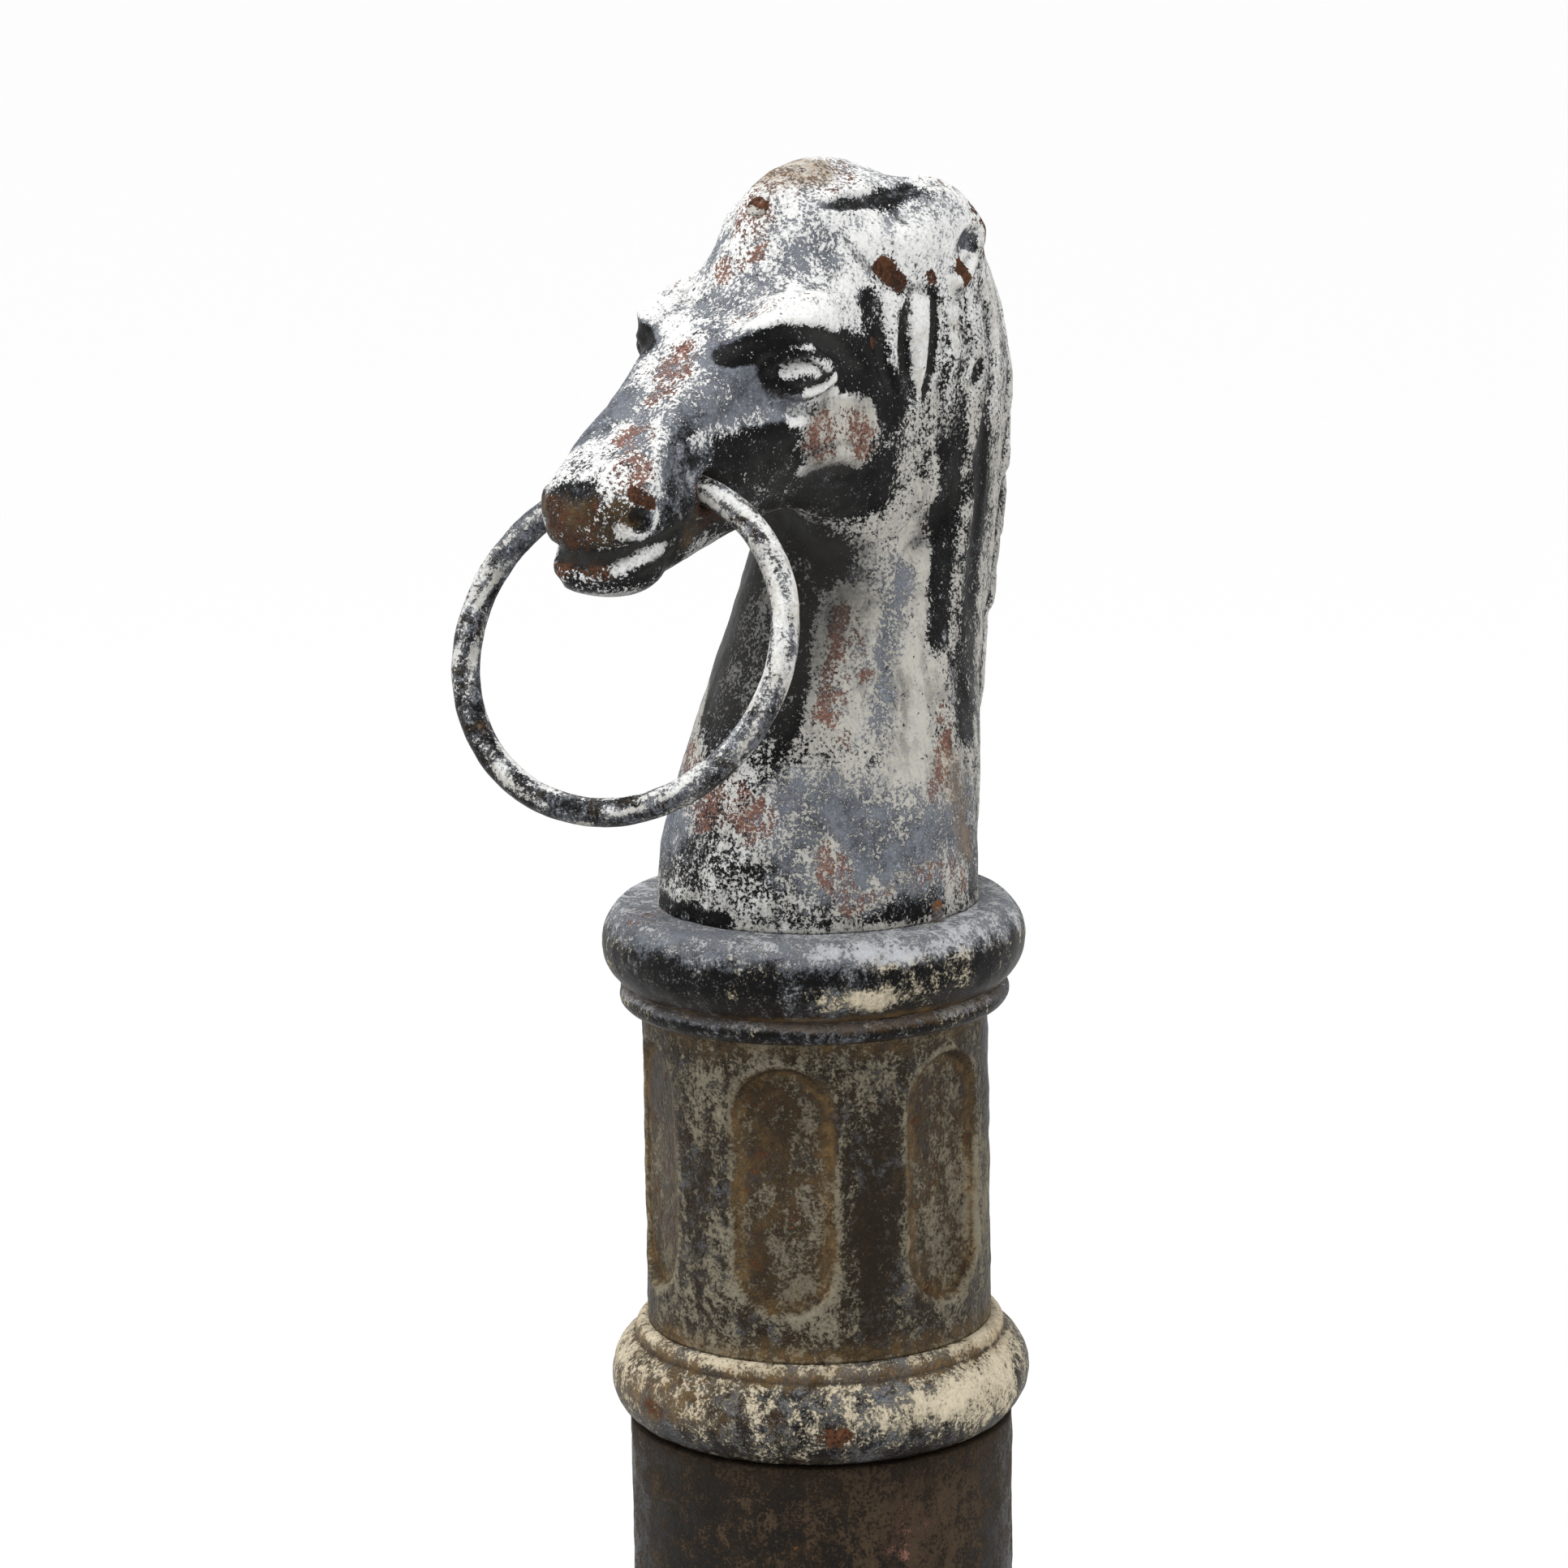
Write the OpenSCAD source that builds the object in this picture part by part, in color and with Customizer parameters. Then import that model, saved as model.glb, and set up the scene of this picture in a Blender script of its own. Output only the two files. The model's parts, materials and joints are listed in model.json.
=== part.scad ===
// Horse-head hitching post: cast-iron column with a fluted drum, two round collars,
// a horse's head and neck, and a loose tether ring through the corners of the mouth.
// Millimetres, +Z up. The origin is at the centre of the base flange's underside.
// The horse faces -Y, so its left side is +X.

/* [Post] */
// Height of the top of the shaft above the ground
shaft_top = 652; // [500:4:800]
// Outer radius of the shaft
shaft_r = 76.2; // [76:0.1:77]
// Wall thickness of the column castings
wall = 10; // [9:0.5:10]

/* [Drum] */
// Height of the fluted drum between the collars
drum_h = 128.5; // [124:0.5:140]
// Outer radius of the fluted drum
drum_r = 68.3; // [68:0.1:69]
// Number of blind flutes round the drum
flute_count = 6; // [4:1:6]
// Width of a flute
flute_w = 40; // [34:1:42]
// Height of a flute
flute_h = 98; // [80:1:100]
// Depth of a flute at its middle
flute_deep = 4.5; // [3:0.5:5]

/* [Collars] */
// Outer radius of both round collars
collar_r = 83.3; // [82:0.1:85]
// Radius of the collars' round section
collar_tube = 18.5; // [18:0.1:19]

/* [Base] */
// Radius of the base flange
flange_r = 150; // [146:1:170]
// Thickness of the base flange
flange_t = 16; // [14:1:20]
// Radius of the circle of anchor holes
anchor_circle = 130; // [128:1:132]
// Radius of an anchor hole
anchor_hole_r = 7; // [6:0.5:8]

/* [Ring] */
// Centreline radius of the tether ring
ring_r = 64.7; // [64:0.1:65.2]
// Radius of the ring's bar
bar_r = 5.5; // [5:0.1:5.5]
// How far the ring hangs forward of straight down
ring_lean = 27.5; // [20:0.5:32]
// How far the ring's bore runs off square to the head
bore_skew = 17; // [15:0.5:18]

/* [Tie rod] */
// Radius of the tie rod
rod_r = 8; // [7:0.5:8]

/* [Hidden] */
$fn = 96;

// Heights of the castings, from the ground up
moulding_z = flange_t;
socket_z = moulding_z + 56;
moulding_top = socket_z + 26;
lower_collar_h = 40;
drum_z = shaft_top + lower_collar_h;
upper_collar_z = drum_z + drum_h;
upper_collar_h = 40.5;
foot_z = upper_collar_z + upper_collar_h;

// The column's hollow
hollow_r = drum_r - wall;
joint_lip_h = 20;
dowel_circle = hollow_r + 4.5;
dowel_r = 2.5;
dowel_len = 16;

// Overlap that lets one cut run clear of a face, and fineness of small rounds
eps = 1;
small_fn = 48;

// Base flange, moulding and their screws
flange_chamfer = 5;
anchor_count = 4;
screw_first = 45;
moulding_r = 110;
plinth_h = 24;
moulding_top_r = shaft_r + 12;
top_fillet_r = 7;
top_step = 4;
cove_r = 20;
cove_fill = 13;
cove_set = 8;
moulding_hollow_r = 70;
web_t = 12;
screw_circle = 90;
screw_r = 5;
screw_len = 34;
screw_head_r = 9;
screw_head_t = 5;

// Round sections of the collars
collar_middle = 17.5;
collar_step_r = drum_r + 5;
collar_step_round = 4;
upper_middle = 25.5;
bead_r = 4.5;
bead_circle = drum_r + 4;
flute_middle = 0.53;

// Neck hollow, its cross web and the tie rod
web_w = 26;
web_h = 20;
neck_hollow_r = 48;
neck_hollow_top_r = 27;
neck_hollow_len = 135;
neck_hollow_tilt = 13;
neck_hollow_y = 2;
neck_hollow_below = 20;
foot_disc_r = 73.5;
foot_disc_t = 4;
rod_hole_deep = web_h - 4;
rod_end = 8;
nut_af = 24;
nut_h = 13;
washer_r = 20;
washer_t = 4;
rod_clear = 1;

// Ring bore: it crosses the mouth corners, and the ring turns about its axis
bore = [0, -85.3, foot_z + 173.7];
bore_r = 8.6;
mouth_half = 26;
bore_len = 120;
flare_r = 11.5;
flare_from = 19;
flare_to = 31;
// The bar of the ring crosses the bore on a curve, so the ring hangs from mid-sag
ring_sag = ring_r - sqrt(ring_r * ring_r - mouth_half * mouth_half);
ring_drop = ring_r - ring_sag / 2;

// Core plug at the front of the forelock
plug_at = [3, -28.7, foot_z + 273.4];
plug_tilt = 50;
plug_r = 4;
plug_buried = 9;
plug_proud = 1;

// ---- Shape of the head: a field that is negative inside the iron ----
// Points are measured from the middle of the neck's foot.

// Blend of two fields with a fillet of about k
function blend(a, b, k) = min(a, b) - pow(max(k - abs(a - b), 0), 2) / (4 * k);

// Ellipsoid at c with radii r, pitched about X
function egg(p, c, r, pitch = 0) =
    let (d = p - c,
         q = [d.x / r.x,
              (cos(pitch) * d.y + sin(pitch) * d.z) / r.y,
              (cos(pitch) * d.z - sin(pitch) * d.y) / r.z],
         near = norm(q),
         slope = norm([q.x / r.x, q.y / r.y, q.z / r.z]))
    near * (near - 1) / (slope + 0.000001);

// Round taper from a to b with end radii ra and rb
function taper(p, a, b, ra, rb) =
    let (t = max(0, min(1, ((p - a) * (b - a)) / ((b - a) * (b - a)))))
    norm(p - a - t * (b - a)) - ra - t * (rb - ra);

// Flat-sided bar from a to b in the plane X = 0. Each end is given as
// [half width, half height, edge radius]
function bar(p, a, b, ends_a, ends_b) =
    let (len = norm(b - a), along = (b - a) / len, up = [0, -along.z, along.y],
         s = (p - a) * along, t = max(0, min(1, s / len)), e = ends_a + t * (ends_b - ends_a),
         out = [abs(p.x) - e[0] + e[2], abs((p - a) * up) - e[1] + e[2], max(s - len, -s)])
    norm([max(out.x, 0), max(out.y, 0), max(out.z, 0)]) + min(max(out), 0) - e[2];

// Neck stations: height over the foot, middle in Y, half width, half depth
neck_stations = [
    [-11, 3, 64, 64], [19, 4, 62, 62.5], [54, 12, 56, 61.5], [83, 20, 49, 59.5],
    [112, 30.5, 43.5, 58], [139, 40, 41, 56], [169, 46, 40.5, 54], [199, 49, 41, 52.5],
    [229, 48, 39, 50], [254, 43, 36, 44.5], [279, 36, 30, 37]];
last_station = len(neck_stations) - 1;
crest_z = 273;
crest_blend = 30;

function station_slope(i, n) =
    let (a = neck_stations[max(0, i - 1)], b = neck_stations[min(last_station, i + 1)])
    (b[n] - a[n]) / (b[0] - a[0]);

// Smooth value of column n of the stations at height h
function neck_value(h, i, n) =
    let (a = neck_stations[i], b = neck_stations[i + 1], step = b[0] - a[0], s = (h - a[0]) / step)
    a[n] * (2 * pow(s, 3) - 3 * s * s + 1) + b[n] * (3 * s * s - 2 * pow(s, 3))
    + step * (station_slope(i, n) * (pow(s, 3) - 2 * s * s + s)
              + station_slope(i + 1, n) * (pow(s, 3) - s * s));

function neck_field(p) =
    let (h = max(neck_stations[0][0], min(neck_stations[last_station][0], p.z)),
         i = max([for (k = [0:last_station - 1]) if (neck_stations[k][0] <= h) k]),
         a = neck_value(h, i, 2),
         b = neck_value(h, i, 3),
         side = (norm([p.x / a, (p.y - neck_value(h, i, 1)) / b]) - 1) * min(a, b))
    -blend(-side, crest_z - p.z, crest_blend);

// The field ends flat a little under the foot, where the casting is cut off
skin_low = -6;

// Whole head, built from the skull down to the neck; each step names what it adds
// and blends it in with the fillet given last
function head_field(q) =
    let (p = [abs(q.x), q.y, q.z],
         skull = egg(p, [0, 12, 236], [37, 52, 50]),
         forelock = blend(skull, egg(p, [0, 6, 258.5], [21, 38, 27.5], -3), 12),
         forehead = blend(forelock, egg(p, [0, -30, 219], [38, 40, 28], 41), 12),
         ears = blend(forehead, egg(p, [24, 46, 264], [13, 24, 14], -18), 10),
         nose = blend(ears, bar(p, [0, -50, 206], [0, -111, 167], [27, 25, 14], [21.5, 18.5, 14]), 12),
         brows = blend(nose, egg(p, [33, -46, 228], [9, 16, 7.5], 5), 9),
         sockets = blend(brows, egg(p, [13, -36, 190], [18, 42, 23], 36), 10),
         jowls = blend(sockets, egg(p, [19, 0, 190], [20.5, 42, 38]), 12),
         jaw = blend(jowls, taper(p, [0, -30, 180], [0, -103, 151], 21, 14), 10),
         muzzle = blend(jaw, egg(p, [0, -109, 166], [24, 21, 21.5]), 10),
         chin = blend(muzzle, egg(p, [0, -111, 145.5], [19, 20, 9.5]), 5))
    max(blend(chin, neck_field(p), 16), skin_low - p.z);

// ---- Skin over the field, on a cubic grid ----

cell = 8;
grid_low = [-76, -148, -18];
grid_cells = [19, 32, 40];
grid_wide = grid_cells.x + 1;
grid_deep = grid_cells.y + 1;

function grid_point(i, j, k) = grid_low + cell * [i, j, k];
function sample_at(samples, i, j, k) = samples[(k * grid_deep + j) * grid_wide + i];
function cell_number(i, j, k) = (k * grid_cells.y + j) * grid_cells.x + i;

// The twelve edges of a cell, as pairs of corners
cell_edges = [for (u = [0, 1]) for (v = [0, 1]) each
    [[[0, u, v], [1, u, v]], [[u, 0, v], [u, 1, v]], [[u, v, 0], [u, v, 1]]]];

// Where the surface crosses the edges of one cell, empty if it doesn't
function crossings(samples, i, j, k) =
    [for (e = cell_edges)
        let (a = sample_at(samples, i + e[0].x, j + e[0].y, k + e[0].z),
             b = sample_at(samples, i + e[1].x, j + e[1].y, k + e[1].z))
        if ((a < 0) != (b < 0)) grid_point(i, j, k) + cell * (e[0] + (e[1] - e[0]) * a / (a - b))];

function mean(points) = [for (n = [0:2]) [for (p = points) p[n]] * [for (p = points) 1] / len(points)];

// Moves a point on to the surface along the field's slope
function settle(p) =
    let (f = head_field(p),
         g = [head_field(p + [1, 0, 0]) - f, head_field(p + [0, 1, 0]) - f,
              head_field(p + [0, 0, 1]) - f])
    p - g * f / max(0.25, g * g);

// Two triangles for the four cells round a crossed grid edge
function quad(a, b, c, d, flip) = flip ? [[a, c, b], [a, d, c]] : [[a, b, c], [a, c, d]];

function skin_faces(samples, index) =
    [for (k = [1:grid_cells.z - 1]) for (j = [1:grid_cells.y - 1]) for (i = [1:grid_cells.x - 1])
        let (s = sample_at(samples, i, j, k) < 0,
             sx = sample_at(samples, i + 1, j, k) < 0,
             sy = sample_at(samples, i, j + 1, k) < 0,
             sz = sample_at(samples, i, j, k + 1) < 0,
             here = index[cell_number(i, j, k)],
             west = index[cell_number(i - 1, j, k)],
             south = index[cell_number(i, j - 1, k)],
             below = index[cell_number(i, j, k - 1)])
        each concat(
            s == sx ? [] : quad(here, south, index[cell_number(i, j - 1, k - 1)], below, s),
            s == sy ? [] : quad(here, below, index[cell_number(i - 1, j, k - 1)], west, s),
            s == sz ? [] : quad(here, west, index[cell_number(i - 1, j - 1, k)], south, s))];

module head_skin() {
    samples = [for (k = [0:grid_cells.z]) for (j = [0:grid_cells.y]) for (i = [0:grid_cells.x])
        head_field(grid_point(i, j, k))];
    marks = [for (k = [0:grid_cells.z - 1]) for (j = [0:grid_cells.y - 1])
        for (i = [0:grid_cells.x - 1]) crossings(samples, i, j, k)];
    index = [for (n = 0, used = 0; n < len(marks); used = used + (len(marks[n]) > 0 ? 1 : 0), n = n + 1)
        len(marks[n]) > 0 ? used : -1];
    polyhedron([for (m = marks) if (len(m) > 0) settle(mean(m))], skin_faces(samples, index));
}

// ---- Castings of the column ----

module ring_of(n, r, first = 0) {
    for (i = [0:n - 1]) rotate([0, 0, first + i * 360 / n]) translate([r, 0, 0]) children();
}

// Plain round ring with a square section
module sleeve(r, hole, z, h) {
    translate([0, 0, z]) difference() {
        cylinder(r = r, h = h);
        translate([0, 0, -eps]) cylinder(r = hole, h = h + 2 * eps);
    }
}

// Two dowel holes across a joint face
module dowel_holes(z) {
    ring_of(2, dowel_circle) translate([0, 0, z - dowel_len / 2]) cylinder(r = dowel_r, h = dowel_len, $fn = small_fn);
}

module base_flange() color([0.22, 0.17, 0.14]) {
    difference() {
        union() {
            cylinder(r = flange_r, h = flange_t - flange_chamfer);
            translate([0, 0, flange_t - flange_chamfer])
                cylinder(r1 = flange_r, r2 = flange_r - flange_chamfer, h = flange_chamfer);
        }
        translate([0, 0, -eps]) cylinder(r = moulding_hollow_r, h = flange_t + 2 * eps);
        ring_of(anchor_count, anchor_circle) translate([0, 0, -eps])
            cylinder(r = anchor_hole_r, h = flange_t + 2 * eps);
        flange_screw_set();
    }
}

module base_moulding() color([0.2, 0.16, 0.13]) {
    full_h = moulding_top - moulding_z;
    difference() {
        translate([0, 0, moulding_z]) rotate_extrude() difference() {
            union() {
                square([moulding_r, plinth_h]);
                square([moulding_top_r, full_h - top_fillet_r + 1]);
                square([moulding_top_r - top_step, full_h]);
                translate([moulding_top_r - 2, full_h - 2 * top_fillet_r - 2])
                    circle(r = top_fillet_r, $fn = small_fn);
                translate([0, plinth_h]) square([moulding_top_r + cove_fill, cove_fill]);
            }
            translate([moulding_top_r + cove_fill + cove_set, plinth_h + cove_fill + cove_set])
                circle(r = cove_r, $fn = small_fn);
        }
        translate([0, 0, moulding_z - eps])
            cylinder(r = moulding_hollow_r, h = socket_z - web_t - moulding_z + eps);
        cylinder(r = rod_r + rod_clear, h = moulding_top);
        translate([0, 0, socket_z]) cylinder(r = shaft_r, h = moulding_top);
        flange_screw_set();
    }
}

module shaft() color([0.24, 0.19, 0.15]) {
    difference() {
        sleeve(shaft_r, shaft_r - wall, socket_z, shaft_top - socket_z);
        dowel_holes(shaft_top);
    }
    // Lip inside the top of the shaft, for the dowels and the collar
    difference() {
        sleeve(shaft_r - wall, hollow_r, shaft_top - joint_lip_h, joint_lip_h);
        dowel_holes(shaft_top);
    }
}

module lower_collar() color([0.3, 0.29, 0.27]) {
    difference() {
        translate([0, 0, shaft_top]) rotate_extrude() intersection() {
            union() {
                translate([collar_r - collar_tube, collar_middle]) circle(r = collar_tube);
                square([collar_r - collar_tube, lower_collar_h - collar_step_round]);
                square([collar_step_r - collar_step_round, lower_collar_h]);
                translate([collar_step_r - collar_step_round, lower_collar_h - collar_step_round])
                    circle(r = collar_step_round, $fn = small_fn);
            }
            translate([hollow_r, 0]) square([collar_r, lower_collar_h]);
        }
        dowel_holes(shaft_top);
        dowel_holes(drum_z);
    }
}

// One blind flute with round ends, cut straight in from the side
module flute() {
    floor_x = drum_r - flute_deep;
    straight = flute_h - flute_w;
    translate([floor_x, 0, drum_z + drum_h * flute_middle]) {
        translate([0, -flute_w / 2, -straight / 2]) cube([wall, flute_w, straight]);
        for (end = [-1, 1]) translate([0, 0, end * straight / 2]) rotate([0, 90, 0]) cylinder(d = flute_w, h = wall);
    }
}

module fluted_drum() color([0.31, 0.29, 0.25]) {
    difference() {
        sleeve(drum_r, hollow_r, drum_z, drum_h);
        ring_of(flute_count, 0, 180 / flute_count - 90) flute();
        dowel_holes(drum_z);
        dowel_holes(upper_collar_z);
    }
}

module upper_collar() color([0.33, 0.34, 0.35]) {
    difference() {
        translate([0, 0, upper_collar_z]) rotate_extrude() intersection() {
            union() {
                translate([collar_r - collar_tube, upper_middle]) circle(r = collar_tube);
                square([collar_r - collar_tube, upper_collar_h]);
                square([bead_circle, 2 * bead_r]);
                translate([bead_circle, bead_r]) circle(r = bead_r, $fn = small_fn);
            }
            translate([hollow_r, 0]) square([collar_r, upper_collar_h]);
        }
        dowel_holes(upper_collar_z);
        dowel_holes(foot_z);
    }
}

// ---- Head ----

// The neck's hollow, with the cross web for the tie rod left standing in it
module neck_hollow() {
    difference() {
        translate([0, neck_hollow_y, foot_z]) rotate([-neck_hollow_tilt, 0, 0])
            translate([0, 0, -neck_hollow_below])
            cylinder(r1 = neck_hollow_r, r2 = neck_hollow_top_r, h = neck_hollow_len + neck_hollow_below);
        translate([-foot_disc_r, -web_w / 2, foot_z]) cube([2 * foot_disc_r, web_w, web_h]);
    }
}

module place_on_bore() {
    translate(bore) rotate([0, 0, bore_skew]) rotate([0, 90, 0]) children();
}

module ring_bore() {
    place_on_bore() cylinder(r = bore_r, h = bore_len, center = true);
    for (side = [0, 180]) place_on_bore() rotate([side, 0, 0]) translate([0, 0, flare_from])
        cylinder(r1 = bore_r, r2 = flare_r, h = flare_to - flare_from);
}

module core_pin(deep, proud) {
    translate(plug_at) rotate([plug_tilt, 0, 0]) translate([0, 0, -deep])
        cylinder(r = plug_r, h = deep + proud, $fn = small_fn);
}

module horse_head() color([0.62, 0.62, 0.6]) {
    difference() {
        union() {
            translate([0, 0, foot_z]) head_skin();
            translate([0, 0, foot_z]) cylinder(r = foot_disc_r, h = foot_disc_t);
        }
        translate([0, 0, foot_z + 2 * skin_low]) cylinder(r = 2 * foot_disc_r, h = -2 * skin_low);
        neck_hollow();
        ring_bore();
        translate([0, 0, foot_z - eps]) cylinder(r = rod_r, h = rod_hole_deep + eps);
        core_pin(plug_buried, plug_buried);
        dowel_holes(foot_z);
    }
}

module core_plug() color([0.5, 0.45, 0.4]) {
    core_pin(plug_buried, plug_proud);
}

// ---- Fasteners inside the column ----

module tie_rod() color([0.35, 0.3, 0.27]) {
    bottom = socket_z - web_t - washer_t - nut_h - rod_end;
    translate([0, 0, bottom]) cylinder(r = rod_r, h = foot_z + rod_hole_deep - bottom);
}

module rod_washer() color([0.45, 0.44, 0.42]) {
    sleeve(washer_r, rod_r, socket_z - web_t - washer_t, washer_t);
}

module rod_nut() color([0.42, 0.4, 0.38]) {
    translate([0, 0, socket_z - web_t - washer_t - nut_h]) difference() {
        cylinder(d = nut_af / cos(30), h = nut_h, $fn = 6);
        translate([0, 0, -eps]) cylinder(r = rod_r, h = nut_h + 2 * eps);
    }
}

module locating_dowels() color([0.5, 0.5, 0.5]) {
    for (z = [shaft_top, drum_z, upper_collar_z, foot_z]) dowel_holes(z);
}

// Countersunk screw up through the flange into the moulding
module flange_screw() {
    cylinder(r1 = screw_head_r, r2 = screw_r, h = screw_head_t);
    translate([0, 0, screw_head_t]) cylinder(r = screw_r, h = screw_len - screw_head_t);
}

module flange_screw_set() {
    ring_of(anchor_count, screw_circle, screw_first) flange_screw();
}

module flange_screws() color([0.4, 0.4, 0.4]) {
    flange_screw_set();
}

// ---- Tether ring ----

module tether_ring() color([0.45, 0.45, 0.43]) {
    translate(bore) rotate([0, 0, bore_skew]) rotate([-ring_lean, 0, 0]) translate([0, 0, -ring_drop])
        rotate([90, 0, 0]) rotate_extrude() translate([ring_r, 0]) circle(r = bar_r, $fn = small_fn);
}

base_flange();
base_moulding();
shaft();
lower_collar();
fluted_drum();
upper_collar();
horse_head();
core_plug();
tie_rod();
rod_washer();
rod_nut();
locating_dowels();
flange_screws();
tether_ring();
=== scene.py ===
"""Looks of the horse-head hitching post: the cast column, the horse's head, the tether ring, and their
worn black and white paint.

Shapes are worked out in millimetres and turned into metres when a mesh is made. The head is sculpted as
a field that is negative inside the iron, measured from the middle of the neck's foot, with the horse's
left side at +X and its nose at -Y. Everything else is turned on the post's axis.
"""

import json
import math

import bpy
import numpy as np
from mathutils import Matrix, Vector


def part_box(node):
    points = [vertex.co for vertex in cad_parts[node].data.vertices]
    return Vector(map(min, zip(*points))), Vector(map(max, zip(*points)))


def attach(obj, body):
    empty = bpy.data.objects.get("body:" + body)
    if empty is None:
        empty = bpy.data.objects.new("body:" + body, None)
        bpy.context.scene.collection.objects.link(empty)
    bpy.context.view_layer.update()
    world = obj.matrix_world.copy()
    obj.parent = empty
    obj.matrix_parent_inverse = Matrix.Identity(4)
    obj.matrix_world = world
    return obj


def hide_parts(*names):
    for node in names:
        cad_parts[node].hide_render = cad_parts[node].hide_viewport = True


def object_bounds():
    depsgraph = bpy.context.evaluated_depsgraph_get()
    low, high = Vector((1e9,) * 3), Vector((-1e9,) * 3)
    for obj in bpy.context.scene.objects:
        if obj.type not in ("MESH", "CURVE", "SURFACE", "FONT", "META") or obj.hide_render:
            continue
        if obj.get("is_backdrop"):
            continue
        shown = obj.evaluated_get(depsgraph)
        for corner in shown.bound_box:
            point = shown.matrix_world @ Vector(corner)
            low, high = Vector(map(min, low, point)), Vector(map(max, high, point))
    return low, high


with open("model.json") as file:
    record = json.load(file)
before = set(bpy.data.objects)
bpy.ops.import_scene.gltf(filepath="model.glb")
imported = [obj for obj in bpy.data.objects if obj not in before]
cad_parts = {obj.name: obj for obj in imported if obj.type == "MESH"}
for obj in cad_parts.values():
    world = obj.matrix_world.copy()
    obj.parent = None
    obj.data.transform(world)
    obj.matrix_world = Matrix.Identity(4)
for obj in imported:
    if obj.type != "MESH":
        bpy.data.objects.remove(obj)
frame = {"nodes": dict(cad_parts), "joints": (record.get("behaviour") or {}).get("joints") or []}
CAD_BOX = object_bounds()

F = np.float32
MM = 0.001


def edges_of(node):
    """Lowest and highest corner of a CAD node, in millimetres."""
    low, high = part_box(node)
    return np.array(low) / MM, np.array(high) / MM


def height_of(node):
    low, high = edges_of(node)
    return high[2] - low[2]


# ---- Camera, light and floor ----

CAMERA_AZIMUTH = 41.6
CAMERA_PITCH = 12.0
CAMERA_ROLL = 1.0
CAMERA_AWAY = 2.0
CAMERA_HEIGHT = 1.332
CAMERA_LENS = 120.3
# How far right of the picture's middle the post's axis stands, in picture widths
AXIS_OFFSET = 34 / 1932
SENSOR = 36.0
TOP_LIGHT = 1.9
# How wide the top light's source looks, in degrees, and the way it shines
TOP_LIGHT_SPREAD = 38
TOP_LIGHT_WAY = (0.10, 0.34, -1)
LAMP_SIZE = 1.8
SKY = 0.80
FLOOR_TONE = 0.72
FLOOR_HALF = 60


def make_camera():
    turn, pitch, roll = (math.radians(a) for a in (CAMERA_AZIMUTH, CAMERA_PITCH, CAMERA_ROLL))
    right = Vector((math.cos(turn), math.sin(turn), 0))
    ahead = Vector((-math.sin(turn) * math.cos(pitch), math.cos(turn) * math.cos(pitch), -math.sin(pitch)))
    up = right.cross(ahead)
    across = math.cos(roll) * right - math.sin(roll) * up
    upward = math.sin(roll) * right + math.cos(roll) * up
    rotation = Matrix((across, upward, -ahead)).transposed().to_4x4()
    yaw = Matrix.Rotation(math.atan(AXIS_OFFSET * SENSOR / CAMERA_LENS), 4, "Z")
    camera = bpy.data.objects.new("camera", bpy.data.cameras.new("camera"))
    camera.data.lens = CAMERA_LENS
    camera.data.sensor_width = SENSOR
    camera.data.clip_end = 200
    place = Vector((CAMERA_AWAY * math.sin(turn), -CAMERA_AWAY * math.cos(turn), CAMERA_HEIGHT))
    camera.matrix_world = Matrix.Translation(place) @ yaw @ rotation
    bpy.context.scene.collection.objects.link(camera)
    bpy.context.scene.camera = camera


def make_lamp(name, place, aim, size, power):
    lamp = bpy.data.objects.new(name, bpy.data.lights.new(name, "AREA"))
    lamp.data.shape = "DISK"
    lamp.data.size = size
    lamp.data.energy = power
    lamp.location = place
    lamp.rotation_euler = (Vector(aim) - Vector(place)).to_track_quat("-Z", "Y").to_euler()
    bpy.context.scene.collection.objects.link(lamp)


def make_studio():
    head_at = (0, 0, 1.05)
    make_lamp("front_light", (-2.6, -2.2, 2.2), head_at, LAMP_SIZE, 10)
    make_lamp("back_light", (2.0, 2.6, 2.4), head_at, LAMP_SIZE, 12)
    # A broad soft light from overhead, a little to the front and to the horse's right
    sky = bpy.data.objects.new("top_light", bpy.data.lights.new("top_light", "SUN"))
    sky.data.angle = math.radians(TOP_LIGHT_SPREAD)
    sky.data.energy = TOP_LIGHT
    sky.rotation_euler = Vector(TOP_LIGHT_WAY).to_track_quat("-Z", "Y").to_euler()
    bpy.context.scene.collection.objects.link(sky)
    world = bpy.data.worlds.new("studio")
    world.use_nodes = True
    world.node_tree.nodes["Background"].inputs["Color"].default_value = (1, 1, 1, 1)
    world.node_tree.nodes["Background"].inputs["Strength"].default_value = SKY
    bpy.context.scene.world = world
    bpy.context.scene.view_settings.view_transform = "Standard"
    corners = [(x * FLOOR_HALF, y * FLOOR_HALF, 0) for x, y in ((-1, -1), (1, -1), (1, 1), (-1, 1))]
    mesh = bpy.data.meshes.new("floor")
    mesh.from_pydata(corners, [], [(0, 1, 2, 3)])
    floor = bpy.data.objects.new("floor", mesh)
    bpy.context.scene.collection.objects.link(floor)
    material = bpy.data.materials.new("floor")
    material.use_nodes = True
    shader = material.node_tree.nodes["Principled BSDF"]
    shader.inputs["Base Color"].default_value = (FLOOR_TONE, FLOOR_TONE, FLOOR_TONE, 1)
    shader.inputs["Roughness"].default_value = 0.9
    mesh.materials.append(material)
    floor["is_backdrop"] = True


# ---- Field helpers: points are an N x 3 array of millimetres ----


def blend(a, b, k):
    """Union of two fields with a fillet of about k."""
    return np.minimum(a, b) - np.maximum(k - np.abs(a - b), 0) ** 2 / F(4 * k)


def cut(a, b, k):
    """Field a with b taken out of it, the edge rounded by about k."""
    return -blend(-a, b, k)


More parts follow.
